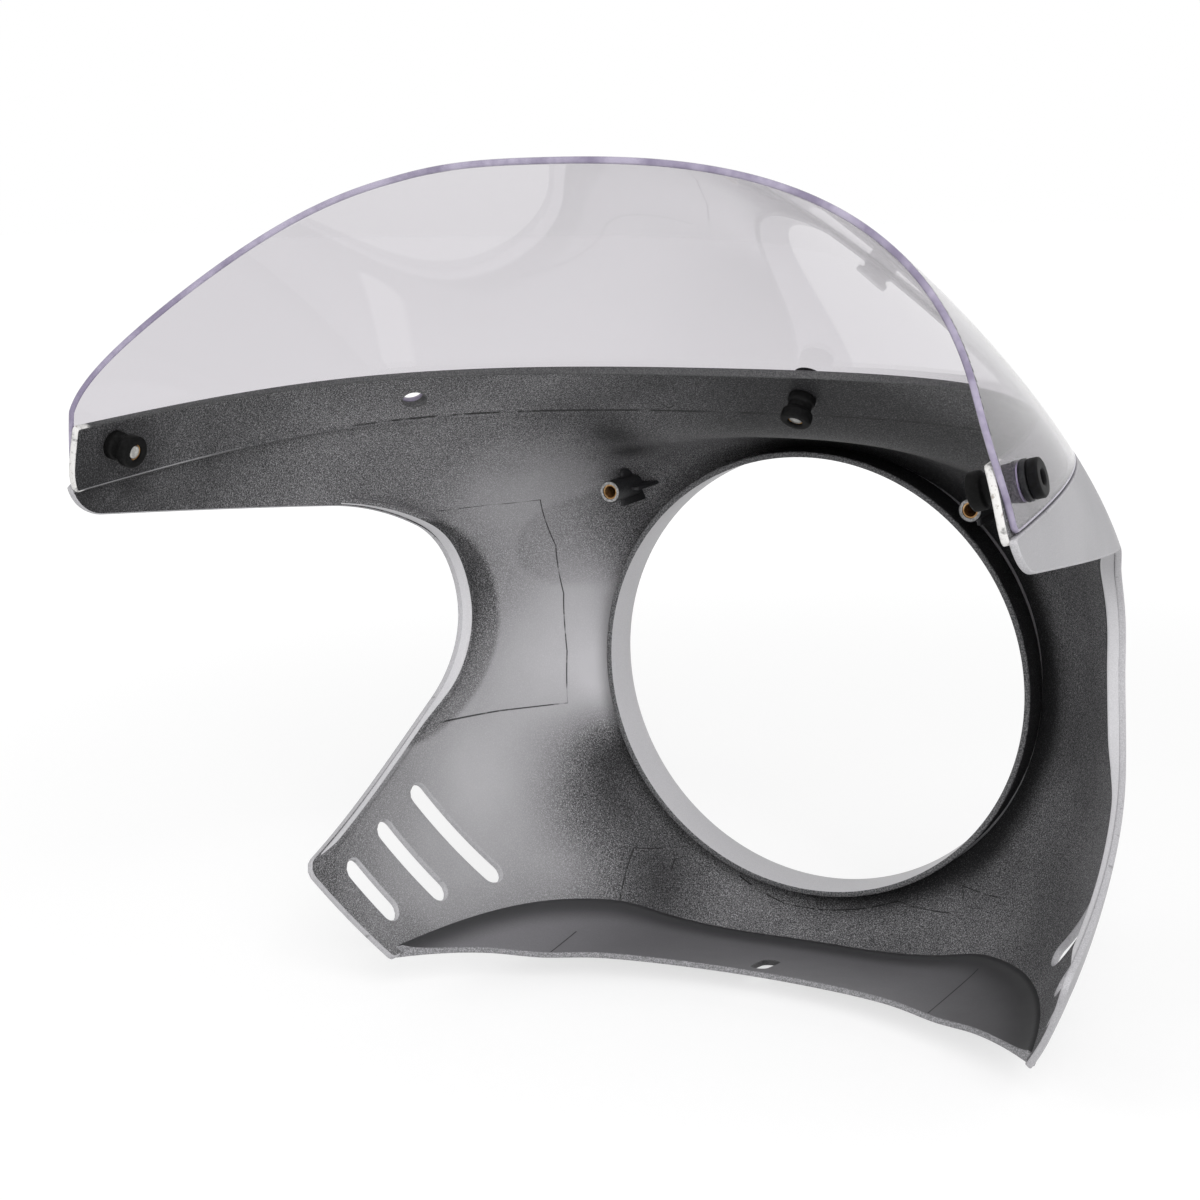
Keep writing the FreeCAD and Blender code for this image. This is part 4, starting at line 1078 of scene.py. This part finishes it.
chin = trimmedShell("chin_flange", shelfTop, shelfLow, shelfField, False, [chinTop, outside, chinEdge],
                    extra={"wallGap": nearWall * mm})


def threadedSleeve(radius, bore, low, high, pitch, depth):
    # plain outer wall, and an inner wall stepped twice in each pitch
    down = np.arange(0, high - low, pitch / 4)
    inner = np.stack([bore + depth * (np.arange(len(down)) % 4 < 2), high - down], -1)
    return np.concatenate([[(radius, low), (radius, high)], inner])


# bracket bosses with four ribs each
bossShape = {"side": 78.2, "height": 78.5, "end": -22.7, "radius": 4.6, "bore": 3.1, "round": 0.35,
             "ringIn": 0.05, "ringOut": 0.3, "ringProud": 0.02,
             "rib": 3.2, "ribWall": 1.6, "ribStart": -12.2, "ribRound": 0.3, "ribBevel": 0.4, "ribEnd": 0.6,
             "insertBore": 2.3, "insertLength": 12.0, "recess": 0.4, "pitch": 0.8, "thread": 0.22}
k = bossShape
bosses, inserts = [], []
for sign in (-1, 1):
    axis = axisFrame((sign * k["side"], k["end"], k["height"]), (0.0, -1.0, 0.0))
    wallAt = skinDepth(np.array(sign * k["side"]), np.array(k["height"] + k["radius"]), wallMm / 2)
    body = roundedProfile([(k["bore"], -k["insertLength"]), (k["bore"], 0), (k["radius"], 0),
                           (k["radius"], k["end"] - float(wallAt))], k["round"])
    bosses.append(turnedPiece("boss", body, axis, [bossPlastic], close=False))
    ring = np.array([(k["bore"] + k["ringIn"], k["ringProud"]), (k["radius"] - k["ringOut"], k["ringProud"])])
    bosses.append(turnedPiece("boss_end", ring, axis, [bossRing], close=False))
    tip, wall = k["radius"] + k["rib"], k["ribWall"] / 2
    outline = roundedProfile([(0, -wall), (tip, -wall), (tip, wall), (0, wall)], k["ribRound"])
    centre = np.array([sign * k["side"], 0, k["height"]])
    for turn in np.arange(4) * math.pi / 2:
        out = np.array([math.cos(turn), 0, math.sin(turn)])
        across = np.array([-math.sin(turn), 0, math.cos(turn)])
        # narrowed free end, full section, and the foot carried on to the skin
        rows = [centre + outline[:, :1] * shrink ** 0.15 * out + outline[:, 1:] * shrink * across
                + np.array([0, y, 0])
                for shrink, y in ((k["ribEnd"], k["ribStart"]), (1.0, k["ribStart"] + k["ribBevel"]), (1.0, 0.0))]
        rows[-1][:, 1] = skinDepth(rows[-1][:, 0], rows[-1][:, 2], wallMm / 2)
        bosses.append(closedGrid("boss_rib", np.stack(rows, 0)[:, ::-1], [bossPlastic], caps=True))
    shell = threadedSleeve(k["bore"], k["insertBore"], -k["recess"] - k["insertLength"], -k["recess"],
                           k["pitch"], k["thread"])
    inserts.append(turnedPiece("boss_insert", shell, axis, [brass], around=40))
bossPiece = joined("bracket_bosses", bosses)
insertPiece = joined("boss_insert_brass", inserts)

# windscreen
screenGrid = {"turns": 456, "runs": 166, "first": 60.0, "last": 276.0, "topBack": 208.5, "topHeight": 220.0,
              "edgeAngle": 59.0, "rearBack": 254.0, "earAngle": 104.0, "earRadius": 28.0, "corner": 3.0,
              "leftEdge": ((-250.5, 139.0), (-247.0, 160.0), (-196.0, 178.0), (-208.5, 220.0)), "crown": 60.0,
              "ahead": 60.0, "above": 100.0, "round": 0.9}
k = screenGrid
runs = np.linspace(k["first"], k["last"], k["runs"])
screenOuter, screenInner, _ = skinSheets(archTurns(k["turns"]), runs, 0.0, screenMm)
sy, sz = screenOuter[..., 1], screenOuter[..., 2]
rise = math.tan(math.radians(k["edgeAngle"]))
top = np.array([-k["topBack"], k["topHeight"]])
ear = np.array([-k["rearBack"], k["topHeight"] - (k["rearBack"] - k["topBack"]) * rise])
lowerY = ear[0] + math.tan(math.radians(k["earAngle"] - 90)) * (ear[1] - joggleAt(ear[0]))
lower = np.array([lowerY, joggleAt(lowerY) + seatLine["gap"]])
over = top + np.array([k["above"] / rise, k["above"]])
ahead = np.array([k["ahead"], joggleAt(k["ahead"]) + seatLine["gap"]])
startRun, endRun = [[ahead], filletPoints(ahead, lower, ear, k["corner"])], [[over, [k["ahead"], over[1]]]]
screenOutline = np.concatenate(startRun + [filletPoints(lower, ear, over, k["earRadius"], 15)] + endRun)
leftOutline = np.concatenate(startRun + [bezierPoints(*k["leftEdge"], 40)] + endRun)
# the two edges run into one another over the crown
onLeft = easeIn(-screenOuter[..., 0] / k["crown"])
outlineGap = onLeft * outlineField(sy, sz, leftOutline) + (1 - onLeft) * outlineField(sy, sz, screenOutline)
screenField = np.minimum(-outlineGap, holeField(screenOuter))
screen = trimmedShell("bubble_screen", screenOuter, screenInner, screenField, False,
                      [screenFace, screenFace, screenEdge], round=k["round"])

# windscreen fixings
fixing = {"neck": 4.6, "base": 5.2, "waist": 4.5, "end": 5.8, "reach": 11.0, "baseLength": 2.4, "endLength": 4.0,
          "taper": 0.8, "bore": 2.8, "gap": 0.35, "lip": 1.0, "insertRadius": 3.5, "insertBore": 2.45,
          "insertLength": 6.5, "washer": 6.2, "washerBore": 2.8, "washerWall": 2.0, "washerGap": 0.15,
          "shank": 2.4, "head": 5.9, "headHeight": 3.6, "headRound": 0.8, "socket": 2.2, "socketDepth": 2.4,
          "tipRecess": 0.2, "tipRound": 0.4, "overlap": 0.1, "axis": 0.01, "nutTop": -0.3, "nutRound": 0.9,
          "washerRound": 0.5, "pitch": 0.8, "thread": 0.2}
k = fixing
bandInside = seatMm + wallMm
nutStart, nutEnd = -bandInside - k["gap"], -bandInside - k["reach"]
insertLow = nutEnd + k["lip"]
insertHigh = insertLow + k["insertLength"]
nutProfile = roundedProfile([
    (k["bore"], k["nutTop"]), (k["neck"], k["nutTop"]), (k["neck"], nutStart), (k["base"], nutStart),
    (k["base"], nutStart - k["baseLength"]), (k["waist"], nutStart - k["baseLength"] - k["taper"]),
    (k["waist"], nutEnd + k["endLength"] + k["taper"]), (k["end"], nutEnd + k["endLength"]),
    (k["end"], nutEnd), (k["bore"], nutEnd), (k["bore"], insertLow)], k["nutRound"])
washerTop = k["washerGap"] + k["washerWall"]
washerProfile = roundedProfile([(k["washerBore"], k["washerGap"]), (k["washer"], k["washerGap"]),
                                (k["washer"], washerTop), (k["washerBore"], washerTop)], k["washerRound"])
headTop = washerTop + k["headHeight"]
screwProfile = roundedProfile([
    (k["shank"], washerTop - 2 * k["overlap"]), (k["shank"], washerTop), (k["head"], washerTop),
    (k["head"], headTop), (k["socket"], headTop), (k["socket"], headTop - k["socketDepth"]),
    (k["axis"], headTop - k["socketDepth"])], k["headRound"], 5)
tipEnd, tipStart = insertLow - k["tipRecess"], washerTop - k["overlap"]
tipProfile = roundedProfile([(k["axis"], tipEnd), (k["shank"], tipEnd), (k["shank"], tipStart),
                             (k["axis"], tipStart)], k["tipRound"])
insertProfile = threadedSleeve(k["insertRadius"], k["insertBore"], insertLow, insertHigh, k["pitch"], k["thread"])
nuts, nutInserts, washers, screws = [], [], [], []
for at, normal in fittedFixings:
    axis = axisFrame(at, normal)
    nuts.append(turnedPiece("well_nut", nutProfile, axis, [rubber], close=False, sharp=60))
    nutInserts.append(turnedPiece("well_nut_insert", insertProfile, axis, [brass], around=40))
    washers.append(turnedPiece("screw_washer", washerProfile, axis, [nylon], close=True))
    screws.append(turnedPiece("windscreen_screw", screwProfile, axis, [blackScrew], close=False))
    screws.append(turnedPiece("screw_shank", tipProfile, axis, [screwTip], close=False, around=32))
nutPiece, nutInsertPiece = joined("well_nut_rubbers", nuts), joined("well_nut_brass", nutInserts)
washerPiece, screwPiece = joined("screw_washer_rings", washers), joined("windscreen_screw_heads", screws)
print("pieces made")

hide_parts("fairing_shell")
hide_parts("windscreen")
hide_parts("well_nuts")
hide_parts("well_nut_inserts")
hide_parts("screw_washers")
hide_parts("windscreen_screws")
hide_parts("boss_inserts")

# camera, as the photo was taken
cameraPlace = {"at": (0.35712, -0.82885, 0.22792), "azimuth": 28.7244, "elevation": 12.0258, "roll": -2.0967,
               "lens": 66.87, "sensor": 36.0, "near": 0.01}
k = cameraPlace
camera = addObject("camera", bpy.data.cameras.new("camera"))
turned = Matrix.Identity(3)
for angle, axis in ((k["azimuth"], "Z"), (90 - k["elevation"], "X"), (k["roll"], "Z")):
    turned = turned @ Matrix.Rotation(math.radians(angle), 3, axis)
camera.matrix_world = Matrix.Translation(k["at"]) @ turned.to_4x4()
camera.data.lens = k["lens"]
camera.data.sensor_width = k["sensor"]
camera.data.clip_start = k["near"]
bpy.context.scene.camera = camera

# floor and light
# each lamp: where it stands, where it points, its two sides and its power
studio = {"floor": (0.9, 0.9, 0.9), "seenFloor": (0.35, 0.35, 0.35), "white": (0.67, 0.84), "reach": (0.3, 1.3),
          "size": 6.0, "drop": 0.0005, "world": 0.55,
          "lamps": {"key": ((0.95, -1.35, 0.95), (-0.1, -0.08, 0.0), (1.0, 1.0), 26.0),
                    "fill": ((-1.2, -1.2, 1.0), (0.0, -0.1, 0.05), (1.4, 1.0), 7.0)}}
floorMesh = bpy.data.meshes.new("floor")
size, low = studio["size"], cadBox[0][2] - studio["drop"]
corners = [(-size, -size, low), (size, -size, low), (size, size, low), (-size, size, low)]
floorMesh.from_pydata(corners, [], [(0, 1, 2, 3)])
floor = addObject("floor", floorMesh)


def seenWhite(tree):
    # rays from the camera, and those reflected or passed on, meet plain white
    path = addNode(tree, "ShaderNodeLightPath")
    either = mathNode(tree, "MAXIMUM", path.outputs["Is Camera Ray"], path.outputs["Is Glossy Ray"])
    return mathNode(tree, "MAXIMUM", either, path.outputs["Is Transmission Ray"])


floorMaterial, tree, shader, spot = newMaterial("floor_pale", 0.9, 0.0, 0.0)
seen = seenWhite(tree)
link(tree, mixColour(tree, seen, studio["floor"], studio["seenFloor"]), shader.inputs["Base Color"])
shader.inputs["Emission Color"].default_value = (1, 1, 1, 1)
# the lamps fade with distance, so the white that is seen rises there; nothing else is lit by it
x, y, _ = splitAxes(tree, spot)
away = distanceFrom(tree, x, 0.0, y, 0.0)
white = mapRange(tree, away, *studio["reach"], *studio["white"])
link(tree, mathNode(tree, "MULTIPLY", white, seen), shader.inputs["Emission Strength"])
floorMesh.materials.append(floorMaterial)

world = bpy.data.worlds.new("studio")
bpy.context.scene.world = world
world.use_nodes = True
tree = world.node_tree
background = tree.nodes["Background"]
background.inputs["Color"].default_value = (1, 1, 1, 1)
link(tree, mapRange(tree, seenWhite(tree), 0.0, 1.0, studio["world"], 1.0), background.inputs["Strength"])

for name, (at, aim, sides, power) in studio["lamps"].items():
    data = bpy.data.lights.new(name, "AREA")
    data.shape = "RECTANGLE"
    data.size, data.size_y = sides
    data.energy = power
    lamp = addObject(name, data)
    lamp.visible_glossy = False
    lamp.location = at
    lamp.rotation_euler = (Vector(aim) - Vector(at)).to_track_quat("-Z", "Y").to_euler()
bpy.context.scene.view_settings.view_transform = "Standard"
print("scene lit")
